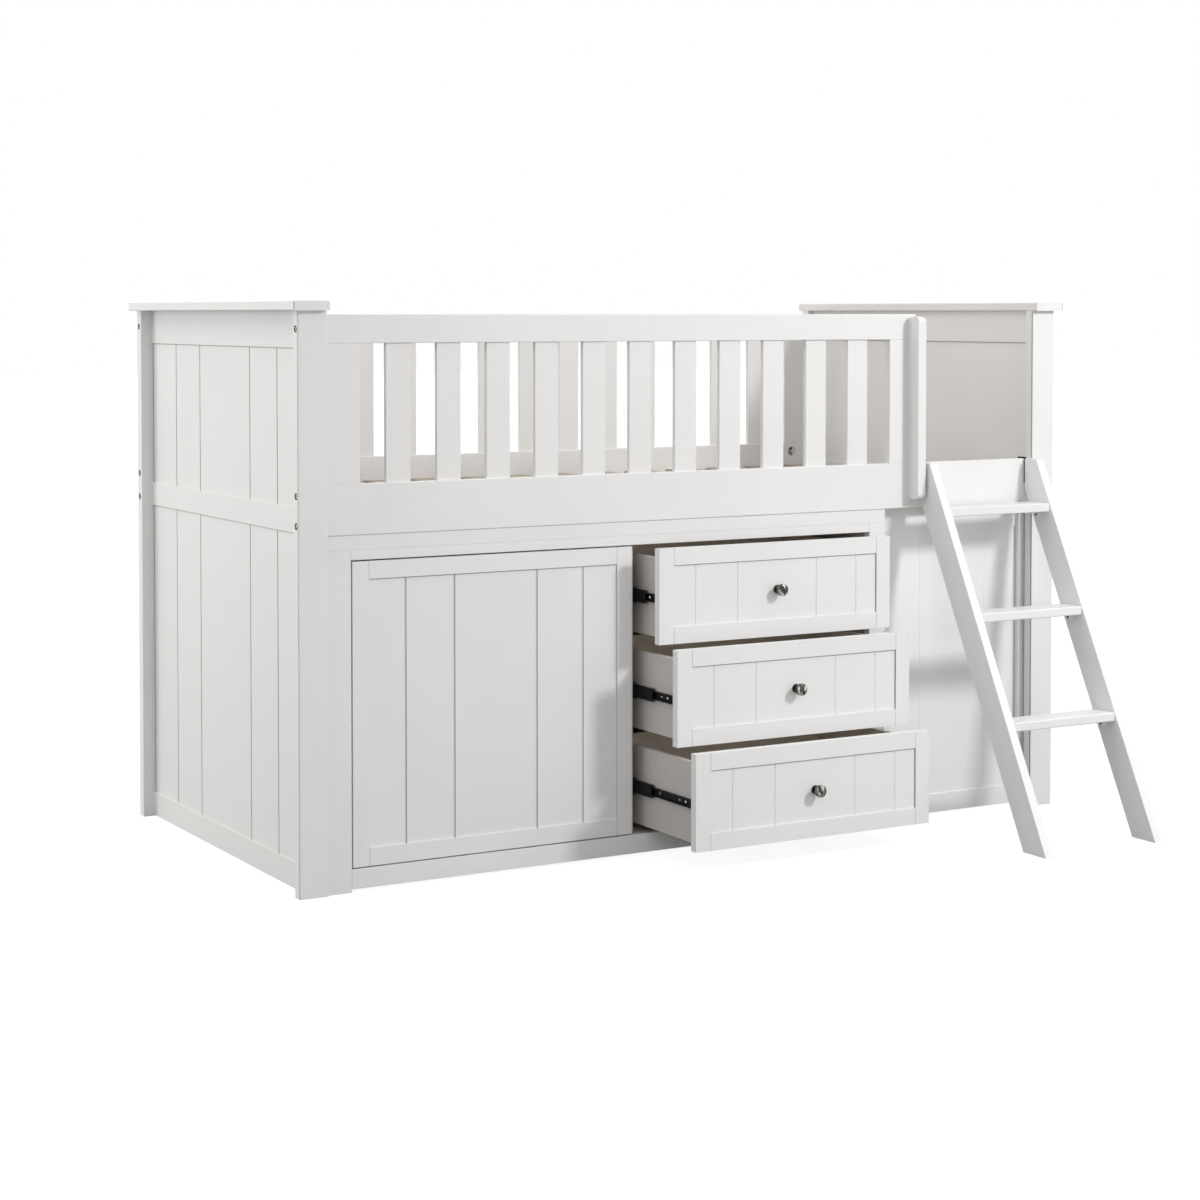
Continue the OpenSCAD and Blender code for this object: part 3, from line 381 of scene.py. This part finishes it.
def cap_paint(node):
    """Paint for an end's cap, which shows a joint at its outer front corner."""
    mat, tree = new_material("paint_" + node)
    low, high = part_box(node)
    coords = object_coords(tree)
    run = scaled(tree, coords, GRAIN_SCALE["Y"])
    fibres = noise(tree, run, 1.0, GRAIN_DETAIL, GRAIN_ROUGH)
    clouds = noise(tree, coords, CLOUD_SCALE, detail=3.0)
    dark = tuple(c * DARK_TONE for c in LACQUER)
    colour = ramp(tree, clouds, [(0.3, dark), (0.6, LACQUER)])
    outer = low.x if abs(low.x) > abs(high.x) else high.x
    corner = math_node(tree, "MULTIPLY", near(tree, coords, "X", outer, CAP_SEAM_X),
                       near(tree, coords, "Y", low.y, CAP_SEAM_Y))
    colour = mix_colour(tree, corner, colour, SEAM_COLOUR)
    relief = bump(tree, fibres, distance=0.0002, strength=0.25)
    return coat(mat, colour, soft_rough(tree, clouds, *LACQUER_ROUGH), relief,
                specular=LACQUER_SPECULAR)


# ---------------------------------------------------------------- bare wood and boards

PINE_TONES = [(0.2, (0.55, 0.475, 0.40)), (0.55, (0.49, 0.41, 0.335)), (0.85, (0.39, 0.31, 0.24))]
PINE_KNOT = (0.20, 0.13, 0.08)
KNOT_CORE = 0.02
KNOT_EDGE = 0.06
PINE_STRETCH = {"X": (1.1, 15.0, 15.0), "Y": (15.0, 1.1, 15.0)}
PINE_BANDS = {"X": "Y", "Y": "X"}

CARCASS_LIGHT = (0.56, 0.52, 0.475)
CARCASS_DARK = (0.48, 0.44, 0.40)
WINDOW_LIGHT = (0.56, 0.54, 0.52)
WINDOW_DARK = (0.48, 0.46, 0.44)
OUTER_FOIL = [(0.35, (0.51, 0.49, 0.47)), (0.65, (0.58, 0.56, 0.54))]
# Warmer foil inside the boxes, lighter than the outer one: painted light for the shade inside
INNER_WARM_LIT_FOIL = [(0.35, (0.76, 0.70, 0.63)), (0.65, (0.84, 0.78, 0.71))]


def pine(name, axis):
    """Planed bare pine: growth rings drawn out along the board, and a few knots."""
    mat, tree = new_material(name)
    coords = object_coords(tree)
    run = scaled(tree, coords, PINE_STRETCH[axis])
    warp = noise(tree, run, 1.6, detail=3.0, distortion=0.6)
    rings = tree.nodes.new("ShaderNodeTexWave")
    rings.wave_type = "BANDS"
    rings.bands_direction = PINE_BANDS[axis]
    rings.inputs["Scale"].default_value = 3.4
    rings.inputs["Distortion"].default_value = 5.5
    rings.inputs["Detail"].default_value = 3.0
    rings.inputs["Detail Scale"].default_value = 1.3
    link(tree, run, rings.inputs["Vector"])
    knots = tree.nodes.new("ShaderNodeTexVoronoi")
    knots.inputs["Scale"].default_value = 4.5
    link(tree, coords, knots.inputs["Vector"])
    knot = remap(tree, knots.outputs["Distance"], KNOT_CORE, KNOT_EDGE, 1.0, 0.0)
    tone = blend(tree, rings.outputs["Fac"], warp, 0.55)
    colour = mix_colour(tree, knot, ramp(tree, tone, PINE_TONES), PINE_KNOT)
    relief = bump(tree, tone, distance=0.0003, strength=0.4)
    return coat(mat, colour, soft_rough(tree, warp, 0.55, 0.68), relief)


def board_tone(tree, coords):
    """A fine fleck, and a tone of that fleck over a slow change."""
    fleck = noise(tree, coords, 260.0, detail=3.0)
    slow = noise(tree, coords, 5.0, detail=2.0)
    return fleck, blend(tree, fleck, slow, 0.45)


def board_coat(mat, colour, fleck):
    tree = mat.node_tree
    relief = bump(tree, fleck, distance=0.0001, strength=0.3)
    return coat(mat, colour, soft_rough(tree, fleck, 0.52, 0.62), relief, specular=0.35)


def board(name, light, dark):
    """Matt foil on chipboard."""
    mat, tree = new_material(name)
    fleck, tone = board_tone(tree, object_coords(tree))
    return board_coat(mat, ramp(tree, tone, [(0.35, dark), (0.65, light)]), fleck)


def drawer_board(node):
    """Grey foil outside a drawer's box, and inside it a warmer foil that is also lighter: the
    warmth is the foil's own, the extra lightness is painted light for the shade inside the box.
    """
    mat, tree = new_material("board_" + node)
    low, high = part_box(node)
    depth = INNER_FOIL_DEPTH
    coords = object_coords(tree)
    fleck, tone = board_tone(tree, coords)
    outer = ramp(tree, tone, OUTER_FOIL)
    inner = ramp(tree, tone, INNER_WARM_LIT_FOIL)
    within = math_node(tree, "MULTIPLY",
                       inside(tree, coords, "X", low.x + depth, high.x - depth),
                       inside(tree, coords, "Y", low.y + depth, high.y - depth))
    return board_coat(mat, mix_colour(tree, within, outer, inner), fleck)


# ---------------------------------------------------------------- metal

BLACK_TONES = [(0.3, (0.006, 0.006, 0.0065)), (0.75, (0.014, 0.014, 0.015))]
# Tones of the nickel in bands across the knob: painted reflections
NICKEL_REFLECTION_TONES = [(0.4, (0.035, 0.032, 0.029)), (0.52, (0.13, 0.123, 0.113)),
                (0.64, (0.5, 0.48, 0.455))]
# Tones of the patina behind the head, also used for the painted dark reflection at the rim
PATINA_AND_DARK_RIM_TONES = [(0.35, (0.045, 0.04, 0.035)), (0.65, (0.16, 0.15, 0.135))]

# Parts of the knob's radius between which its rim darkens and dulls, and how far it does; the
# darkening is a painted dark reflection
RIM_INNER = 0.86
RIM_OUTER = 0.97
RIM_DULL_AND_DARK = 0.75

# Part of the knob's head, from its front, that is polished
POLISHED_HEAD = 0.75

# Turned rings on the knob, in radians per metre of radius
TURNED_RINGS = 9000.0


def black_steel(name):
    """Black coat on rolled steel, with wiped streaks along the slides."""
    mat, tree = new_material(name)
    coords = object_coords(tree)
    grit = noise(tree, coords, 1400.0, detail=2.0)
    streaks = noise(tree, scaled(tree, coords, (60.0, 3.0, 90.0)), 1.0, detail=3.0)
    relief = bump(tree, grit, distance=0.00005, strength=0.4)
    return coat(mat, ramp(tree, streaks, BLACK_TONES), soft_rough(tree, streaks, 0.42, 0.58),
                relief, specular=0.12)


def plated(name, bright, dull, rough):
    """Plated steel: a fine grit over a slow change of tone and polish."""
    mat, tree = new_material(name)
    coords = object_coords(tree)
    grit = noise(tree, coords, 900.0, detail=3.0)
    slow = noise(tree, coords, 45.0, detail=2.0)
    tone = blend(tree, grit, slow, 0.5)
    relief = bump(tree, grit, distance=0.00004, strength=0.5)
    return coat(mat, ramp(tree, tone, [(0.3, dull), (0.7, bright)]),
                soft_rough(tree, tone, rough + 0.08, rough), relief, metallic=1.0)


def knob_metal(node):
    """Antique nickel: a turned head with dull patina behind it, a painted dark reflection at its
    rim, and painted light and dark reflection bands across it.
    """
    mat, tree = new_material("nickel_" + node)
    low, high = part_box(node)
    coords = object_coords(tree)
    offset = vector_math(tree, "SUBTRACT", coords, (low + high) / 2.0)
    radius = vector_math(tree, "LENGTH", vector_math(tree, "MULTIPLY", offset, (1.0, 0.0, 1.0)))
    behind = inside(tree, coords, "Y", low.y + KNOB_HEAD_T * POLISHED_HEAD, high.y)
    # The rim darkens: a painted dark reflection
    rim = remap(tree, radius, KNOB_R * RIM_INNER, KNOB_R * RIM_OUTER, 0.0, RIM_DULL_AND_DARK)
    dull = math_node(tree, "MAXIMUM", behind, rim)
    # Bands across the knob that stand for its reflections: painted reflections
    reflection_bands = noise(tree, scaled(tree, coords, (150.0, 60.0, 60.0)), 1.0, detail=1.5)
    colour = mix_colour(tree, dull, ramp(tree, reflection_bands, NICKEL_REFLECTION_TONES),
                        ramp(tree, reflection_bands, PATINA_AND_DARK_RIM_TONES))
    rings = math_node(tree, "SINE", math_node(tree, "MULTIPLY", radius, TURNED_RINGS))
    relief = bump(tree, rings, distance=0.00002, strength=0.4)
    return coat(mat, colour, remap(tree, dull, 0.0, 1.0, 0.16, 0.34), relief, metallic=1.0)


# ---------------------------------------------------------------- finishes of the CAD nodes

UPRIGHT_WORDS = ("post", "stile", "slats", "filler")
STILE_FRAMES = ("drawer_1_front", "drawer_2_front", "drawer_3_front", "door_frame")
LACQUERED_CABINET = ("cabinet_filler", "cabinet_face_frame")
ZINC_NODES = ("cross_nuts", "shelf_pins", "hinge_arms", "hinge_cups", "magnet_catch")


def islands(node):
    """The box of each separate solid in a node, as (low, high) pairs."""
    mesh = NODES[node].data
    place = [tuple(round(c, 5) for c in vertex.co) for vertex in mesh.vertices]
    parent = {point: point for point in place}

    def root(point):
        while parent[point] != point:
            parent[point] = parent[parent[point]]
            point = parent[point]
        return point

    for polygon in mesh.polygons:
        first = root(place[polygon.vertices[0]])
        for index in polygon.vertices[1:]:
            parent[root(place[index])] = first
    groups = {}
    for point in parent:
        groups.setdefault(root(point), []).append(point)
    boxes = []
    for points in groups.values():
        low = Vector([min(p[i] for p in points) for i in range(3)])
        high = Vector([max(p[i] for p in points) for i in range(3)])
        boxes.append((low, high))
    return sorted(boxes, key=lambda box: tuple(box[0]))


def rounded(obj, width):
    """Eases the sharp edges of a CAD node."""
    weld = obj.modifiers.new("weld", "WELD")
    weld.merge_threshold = WELD_REACH
    bevel = obj.modifiers.new("edges", "BEVEL")
    bevel.width = width
    bevel.segments = EDGE_SEGMENTS
    bevel.limit_method = "ANGLE"
    bevel.angle_limit = math.radians(SMOOTH_ANGLE)
    normals = obj.modifiers.new("normals", "WEIGHTED_NORMAL")
    normals.keep_sharp = True
    for polygon in obj.data.polygons:
        polygon.use_smooth = True


def finish_node(name, mat, edge):
    obj = NODES[name]
    obj.data.materials.clear()
    obj.data.materials.append(mat)
    rounded(obj, edge)


def lacquered():
    """Lacquer for every node, by the way its grain runs. Other finishes replace it
    on the nodes that aren't lacquered."""
    upright = paint("paint_upright", "Z")
    lengthways = paint("paint_lengthways", "X")
    crossways = paint("paint_crossways", "Y")
    # Painted shadow lines just below the door frame's top rail and below each end rail
    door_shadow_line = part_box("door_frame")[1].z - MEMBER_W - SHADOW_LINE_HALF / 2.0
    panel = panel_paint("paint_panel", "X", tops=(door_shadow_line,))
    end_shadow_lines = [low.z - SHADOW_LINE_HALF / 2.0 for low, high in islands("left_end_rails")]
    # Painted shade line along the end panel's rear edge, beside the rear post
    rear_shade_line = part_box("left_rear_post")[0].y - SIDE_SHADE_HALF / 2.0
    end_panel = panel_paint("paint_end_panel", "Y", tops=end_shadow_lines, sides=(rear_shade_line,))
    finishes = {}
    for name in NODES:
        if any(word in name for word in UPRIGHT_WORDS):
            finishes[name] = upright
        elif name in ("left_end_rails", "right_end_rails"):
            finishes[name] = crossways
        elif name.endswith("end_panels"):
            finishes[name] = end_panel
        elif name.endswith("panel"):
            finishes[name] = panel
        else:
            finishes[name] = lengthways
    for name in STILE_FRAMES:
        finishes[name] = stile_frame(name)
    for name in ("left_cap", "right_cap"):
        finishes[name] = cap_paint(name)
    for name in ("left_front_post", "right_front_post"):
        finishes[name] = post_paint(name)
    # The infill takes the lighter copy of the lacquer: painted light
    for name in ("infill_panel", "infill_rails"):
        finishes[name] = paint("paint_" + name, "Z", grain=0.2, tint=INFILL_LIT_LACQUER)
    return finishes


def bare_wood():
    """Pine and foiled boards of the base, the cabinet and the drawers' boxes."""
    finishes = {"mattress_slats": pine("pine_slats", "Y"),
                "slat_ledgers": pine("pine_ledgers", "X")}
    carcass = board("board_carcass", CARCASS_LIGHT, CARCASS_DARK)
    finishes["cupboard_shelf"] = carcass
    for name in NODES:
        if name.startswith("cabinet_") and name not in LACQUERED_CABINET:
            finishes[name] = carcass
        elif name.endswith("_box"):
            finishes[name] = drawer_board(name)
    return finishes


def metal():
    black = black_steel("steel_black")
    zinc = plated("steel_zinc", (0.72, 0.73, 0.75), (0.55, 0.56, 0.58), 0.24)
    bolts = plated("steel_bolts", (0.82, 0.78, 0.72), (0.60, 0.56, 0.51), 0.34)
    finishes = {"frame_bolts": bolts}
    for name in NODES:
        if "slides" in name or name == "ladder_hooks":
            finishes[name] = black
        elif name.endswith("knob"):
            finishes[name] = knob_metal(name)
        elif name in ZINC_NODES:
            finishes[name] = zinc
    return finishes


def finish_nodes():
    wood_finishes = lacquered() | bare_wood()
    metal_finishes = metal()
    for name in NODES:
        if name in metal_finishes:
            finish_node(name, metal_finishes[name], METAL_EDGE)
        else:
            finish_node(name, wood_finishes[name], WOOD_EDGE)


# ---------------------------------------------------------------- small fixings

# Radius and height of each kind of screw's or nail's head
SLIDE_SCREW = (0.0032, 0.0015)
HINGE_SCREW = (0.0032, 0.0014)
CATCH_SCREW = (0.003, 0.0014)
SLAT_SCREW = (0.0034, 0.0004)
BLOCK_SCREW = (0.0034, 0.0014)
NAIL = (0.0022, 0.0007)

# Grid of a head, and its cross recess in parts of the head's radius and height
SCREW_GRID = 12
CROSS_HALF = 0.1
CROSS_REACH = 0.55
CROSS_DEPTH = 0.6

# Places of the screws: in metres from an end, or in parts of a piece's size
SLIDE_SCREW_PLACES = (0.036, 0.19, 0.36)
HINGE_SCREW_PARTS_Y = (0.3, 0.8)
HINGE_SCREW_PARTS_Z = (0.27, 0.73)
CATCH_SCREW_PARTS = (0.25, 0.75)
SLAT_SCREW_IN = 0.012

# An inner slide member: from its lips in to its web, and the cut-outs in that web, each
# as its place along the slide, its length and its height
SLIDE_WEB = 0.007
SLIDE_WINDOWS = ((0.0605, 0.0085, 0.0038), (0.143, 0.0024, 0.0075))
WINDOW_T = 0.0002
OBLONG_POINTS = 32

# Rows of balls in a middle slide member
BALL_R = 0.0015
BALL_IN = 0.0053
BALL_UP = 0.01075
BALL_PITCH = 0.009
BALLS = 14

# Dark collar round a bolt's head: painted shade in the counterbore
SHADE_RING_INNER = 0.0040
SHADE_RING_OUTER = 0.00745
SHADE_RING_DEPTH = 0.0006
RING_STEPS = 32

# Nails round the edge of the cabinet's back
NAIL_INSET = 0.009
NAIL_COLUMNS = 11
NAIL_ROWS = 6


def piece(name, mesh_data, mat, body):
    """Makes an object of a bmesh, which rides on a body."""
    mesh = bpy.data.meshes.new(name)
    mesh_data.normal_update()
    mesh_data.to_mesh(mesh)
    mesh_data.free()
    for polygon in mesh.polygons:
        polygon.use_smooth = True
    obj = bpy.data.objects.new(name, mesh)
    bpy.context.scene.collection.objects.link(obj)
    mesh.materials.append(mat)
    split = obj.modifiers.new("edges", "EDGE_SPLIT")
    split.split_angle = math.radians(SMOOTH_ANGLE)
    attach(obj, body)


def placed(place, direction):
    """A matrix that takes +Z to a direction at a place."""
    turn = Vector(direction).to_track_quat("Z", "Y").to_matrix().to_4x4()
    return Matrix.Translation(place) @ turn


def between(low, high, part):
    return low + part * (high - low)


def screw_head(mesh_data, place, direction, head):
    """A domed head with a cross recess, closed below."""
    at = placed(place, direction)
    radius, height = head
    points = {}
    for i in range(SCREW_GRID + 1):
        for j in range(SCREW_GRID + 1):
            u = 2.0 * i / SCREW_GRID - 1.0
            v = 2.0 * j / SCREW_GRID - 1.0
            x = u * math.sqrt(1.0 - v * v / 2.0)
            y = v * math.sqrt(1.0 - u * u / 2.0)
            z = 1.0 - math.hypot(x, y) ** 3
            if min(abs(x), abs(y)) < CROSS_HALF and max(abs(x), abs(y)) < CROSS_REACH:
                z -= CROSS_DEPTH
            point = at @ Vector((x * radius, y * radius, z * height))
            points[i, j] = mesh_data.verts.new(point)
    last = SCREW_GRID
    for i in range(last):
        for j in range(last):
            mesh_data.faces.new((points[i, j], points[i + 1, j],
                                 points[i + 1, j + 1], points[i, j + 1]))
    rim = [points[i, 0] for i in range(last)]
    rim += [points[last, j] for j in range(last)]
    rim += [points[i, last] for i in range(last, 0, -1)]
    rim += [points[0, j] for j in range(last, 0, -1)]
    mesh_data.faces.new(reversed(rim))


def ring(mesh_data, place, direction, inner, outer, depth):
    """A collar: its front face lies at the place, its depth runs against the direction."""
    at = placed(place, direction)
    loops = []
    for step in range(RING_STEPS):
        turn = 2.0 * math.pi * step / RING_STEPS
        spot = []
        for radius, z in ((inner, 0.0), (outer, 0.0), (outer, -depth), (inner, -depth)):
            point = at @ Vector((radius * math.cos(turn), radius * math.sin(turn), z))
            spot.append(mesh_data.verts.new(point))
        loops.append(spot)
    for step in range(RING_STEPS):
        here = loops[step]
        there = loops[(step + 1) % RING_STEPS]
        for k in range(4):
            m = (k + 1) % 4
            mesh_data.faces.new((here[k], here[m], there[m], there[k]))


def oblong(mesh_data, place, side, size_y, size_z):
    """A thin plate with round ends on a wall that faces along X, to the side -1 or 1."""
    radius = min(size_y, size_z) / 2.0
    run_y = size_y / 2.0 - radius
    run_z = size_z / 2.0 - radius
    outline = []
    for step in range(OBLONG_POINTS):
        turn = 2.0 * math.pi * (step + 0.5) / OBLONG_POINTS
        c = math.cos(turn)
        s = math.sin(turn)
        corner = Vector((0.0, math.copysign(run_y, c) + radius * c,
                         math.copysign(run_z, s) + radius * s))
        outline.append(Vector(place) + corner)
    out = Vector((side * WINDOW_T, 0.0, 0.0))
    back = [mesh_data.verts.new(point) for point in outline]
    front = [mesh_data.verts.new(point + out) for point in outline]
    mesh_data.faces.new(front)
    mesh_data.faces.new(reversed(back))
    for k in range(OBLONG_POINTS):
        m = (k + 1) % OBLONG_POINTS
        mesh_data.faces.new((back[k], back[m], front[m], front[k]))


def bolt_shade_rings():
    """A dark collar round each frame bolt's head, just inside its counterbore: painted shade, set
    where the counterbore is in shade.
    """
    shade_rings = bmesh.new()
    left_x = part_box("left_front_post")[0].x + METAL_EDGE
    right_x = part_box("right_front_post")[1].x - METAL_EDGE
    for low, high in islands("frame_bolts"):
        x, side = (left_x, -1) if low.x < 0.0 else (right_x, 1)
        place = (x, (low.y + high.y) / 2.0, (low.z + high.z) / 2.0)
        ring(shade_rings, place, (side, 0, 0), SHADE_RING_INNER, SHADE_RING_OUTER, SHADE_RING_DEPTH)
    piece("bolt_shade_rings", shade_rings, black_steel("steel_shade_rings"), "frame")


def slide_details(number, screws, window):
    """Screws, cut-outs and ball rows of one drawer's two slides."""
    body = "drawer_%d" % number
    heads = bmesh.new()
    plates = bmesh.new()
    left, right = islands(body + "_inner_slides")
    z = (left[0].z + left[1].z) / 2.0
    for x, side in ((left[0].x + SLIDE_WEB, -1), (right[1].x - SLIDE_WEB, 1)):
        for along in SLIDE_SCREW_PLACES:
            screw_head(heads, (x, left[0].y + along, z), (side, 0, 0), SLIDE_SCREW)
        for along, size_y, size_z in SLIDE_WINDOWS:
            oblong(plates, (x, left[0].y + along, z), side, size_y, size_z)
    piece(body + "_slide_screws", heads, screws, body)
    piece(body + "_slide_windows", plates, window, body)
    balls = bmesh.new()
    left, right = islands(body + "_middle_slides")
    for x in (left[0].x + BALL_IN, right[1].x - BALL_IN):
        for up in (-BALL_UP, BALL_UP):
            for k in range(BALLS):
                spot = Vector((x, left[0].y + BALL_PITCH * (k + 1), z + up))
                bmesh.ops.create_uvsphere(balls, u_segments=12, v_segments=8, radius=BALL_R,
                                          matrix=Matrix.Translation(spot))
    piece(body + "_slide_balls", balls, screws, "middle_slides_%d" % number)


def frame_screws(screws):
    """Screws of the catch and the mattress slats, and of the hinge arms, where they lie
    level with the arms' outermost face."""
    heads = bmesh.new()
    for low, high in islands("hinge_arms"):
        for part_y in HINGE_SCREW_PARTS_Y:
            for part_z in HINGE_SCREW_PARTS_Z:
                spot = (high.x, between(low.y, high.y, part_y), between(low.z, high.z, part_z))
                screw_head(heads, spot, (1, 0, 0), HINGE_SCREW)
    low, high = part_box("magnet_catch")
    for part in CATCH_SCREW_PARTS:
        spot = (between(low.x, high.x, part), (low.y + high.y) / 2.0, low.z)
        screw_head(heads, spot, (0, 0, -1), CATCH_SCREW)
    for low, high in islands("mattress_slats"):
        for y in (low.y + SLAT_SCREW_IN, high.y - SLAT_SCREW_IN):
            screw_head(heads, ((low.x + high.x) / 2.0, y, high.z), (0, 0, 1), SLAT_SCREW)
    piece("fixing_screws", heads, screws, "frame")


def ladder_screws(dark):
    """A screw over the hole of each block under the ladder's treads."""
    heads = bmesh.new()
    ladder_low, ladder_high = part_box("ladder_blocks")
    middle = (ladder_low.x + ladder_high.x) / 2.0
    for low, high in islands("ladder_blocks"):
        x, side = (low.x, -1) if low.x > middle else (high.x, 1)
        place = (x, (low.y + high.y) / 2.0, (low.z + high.z) / 2.0)
        screw_head(heads, place, (side, 0, 0), BLOCK_SCREW)
    piece("ladder_block_screws", heads, dark, "ladder")


def back_nails(zinc):
    """Nails along the edges of the cabinet's back board."""
    nails = bmesh.new()
    low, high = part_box("cabinet_back")
    width = high.x - low.x - 2.0 * NAIL_INSET
    height = high.z - low.z - 2.0 * NAIL_INSET
    for k in range(NAIL_COLUMNS):
        x = low.x + NAIL_INSET + width * k / (NAIL_COLUMNS - 1)
        for z in (low.z + NAIL_INSET, high.z - NAIL_INSET):
            screw_head(nails, (x, high.y, z), (0, 1, 0), NAIL)
    for k in range(1, NAIL_ROWS - 1):
        z = low.z + NAIL_INSET + height * k / (NAIL_ROWS - 1)
        for x in (low.x + NAIL_INSET, high.x - NAIL_INSET):
            screw_head(nails, (x, high.y, z), (0, 1, 0), NAIL)
    piece("back_nails", nails, zinc, "frame")


def make_fixings():
    zinc = plated("steel_screws", (0.74, 0.74, 0.75), (0.56, 0.56, 0.57), 0.26)
    dark = black_steel("steel_dark_screws")
    window = board("board_window", WINDOW_LIGHT, WINDOW_DARK)
    bolt_shade_rings()
    for number in (1, 2, 3):
        slide_details(number, zinc, window)
    frame_screws(zinc)
    ladder_screws(dark)
    back_nails(zinc)


# ---------------------------------------------------------------- stage, light and camera

FLOOR_HALF = 40.0
FLOOR_TONES = [(0.0, (0.19, 0.19, 0.19)), (1.0, (0.21, 0.21, 0.21))]

# The floor's own glow, which rises from one distance to the other up to plain white
GLOW_NEAR = 1.5
GLOW_FAR = 5.0
GLOW_LOW = 0.915

WORLD_FILL = 0.57


def camera_only(tree):
    """1 for camera, glossy and transmission rays, else 0."""
    path = tree.nodes.new("ShaderNodeLightPath")
    first = math_node(tree, "MAXIMUM", path.outputs["Is Camera Ray"],
                      path.outputs["Is Glossy Ray"])
    return math_node(tree, "MAXIMUM", first, path.outputs["Is Transmission Ray"])


def floor_material():
    mat, tree = new_material("floor_white")
    coords = object_coords(tree)
    grain = noise(tree, coords, 40.0, detail=2.0)
    coat(mat, ramp(tree, grain, FLOOR_TONES), 0.9, None, specular=0.1)
    away = vector_math(tree, "LENGTH", coords)
    lift = remap(tree, away, GLOW_NEAR, GLOW_FAR, GLOW_LOW, 1.0)
    glow = tree.nodes.new("ShaderNodeEmission")
    link(tree, math_node(tree, "MULTIPLY", camera_only(tree), lift), glow.inputs["Strength"])
    both = tree.nodes.new("ShaderNodeAddShader")
    link(tree, tree.nodes["Principled BSDF"].outputs["BSDF"], both.inputs[0])
    link(tree, glow.outputs["Emission"], both.inputs[1])
    link(tree, both.outputs["Shader"], tree.nodes["Material Output"].inputs["Surface"])
    return mat


def make_floor():
    mesh = bpy.data.meshes.new("floor")
    half = FLOOR_HALF
    corners = [(-half, -half, 0), (half, -half, 0), (half, half, 0), (-half, half, 0)]
    mesh.from_pydata(corners, [], [(0, 1, 2, 3)])
    floor = bpy.data.objects.new("floor", mesh)
    bpy.context.scene.collection.objects.link(floor)
    mesh.materials.append(floor_material())


def make_world(fill, tint):
    """White behind the object, and a dimmer fill light of its own tint on it."""
    world = bpy.data.worlds.new("studio")
    bpy.context.scene.world = world
    world.use_nodes = True
    tree = world.node_tree
    shown = camera_only(tree)
    back = tree.nodes["Background"]
    link(tree, mix_colour(tree, shown, tint, WHITE_LIGHT), back.inputs["Color"])
    link(tree, remap(tree, shown, 0.0, 1.0, fill, 1.0), back.inputs["Strength"])


def area_lamp(name, place, target, size, power, tint):
    data = bpy.data.lights.new(name, "AREA")
    data.shape = "RECTANGLE"
    data.size, data.size_y = size
    data.energy = power
    data.color = tint
    lamp = bpy.data.objects.new(name, data)
    lamp.location = place
    aim = Vector(target) - Vector(place)
    lamp.rotation_euler = aim.to_track_quat("-Z", "Y").to_euler()
    bpy.context.scene.collection.objects.link(lamp)


def make_light():
    make_world(WORLD_FILL, WARM_LIGHT)
    area_lamp("key", (1.78, -3.09, 2.52), (0.1, 0.0, 0.5), (0.5, 0.5), 69.0, COOL_LIGHT)
    area_lamp("low_right", (2.8, -3.4, 1.1), (0.2, 0.0, 0.5), (1.8, 1.4), 9.0, COOL_LIGHT)
    area_lamp("front_left", (-1.0, -3.4, 0.9), (0.4, -0.2, 0.6), (1.2, 1.2), 13.0, COOL_LIGHT)
    area_lamp("left_front", (-5.4, -0.9, 2.4), (-0.6, 0.2, 0.6), (2.4, 2.4), 20.0, WARM_LIGHT)
    area_lamp("left_low", (-3.4, 2.6, 1.0), (-0.9, 0.3, 0.5), (1.6, 1.6), 36.0, WARM_LIGHT)
    area_lamp("left_high", (-3.4, 0.6, 4.2), (-0.4, 0.2, 0.8), (2.6, 2.6), 46.0, WHITE_LIGHT)
    area_lamp("right_fill", (4.6, 0.9, 2.2), (0.9, 0.2, 0.6), (2.4, 2.4), 30.0, WARM_LIGHT)
    area_lamp("top_fill", (0.0, -0.6, 4.4), (0.0, 0.2, 0.6), (3.5, 3.0), 8.0, WHITE_LIGHT)
    area_lamp("rear_fill", (0.8, 5.5, 2.6), (0.0, 0.6, 0.6), (3.0, 2.4), 55.0, WARM_LIGHT)


def make_camera():
    data = bpy.data.cameras.new("photo_camera")
    data.sensor_width = CAMERA_SENSOR_MM
    data.lens = CAMERA_LENS_MM
    data.shift_y = CAMERA_SHIFT_Y
    data.clip_end = CAMERA_FAR
    camera = bpy.data.objects.new("photo_camera", data)
    camera.location = CAMERA_PLACE
    camera.rotation_euler = (math.radians(90.0 - CAMERA_DOWN), 0.0, math.radians(CAMERA_TURN))
    bpy.context.scene.collection.objects.link(camera)
    bpy.context.scene.camera = camera
    bpy.context.scene.view_settings.view_transform = "Standard"


finish_nodes()
make_fixings()
make_floor()
make_light()
make_camera()
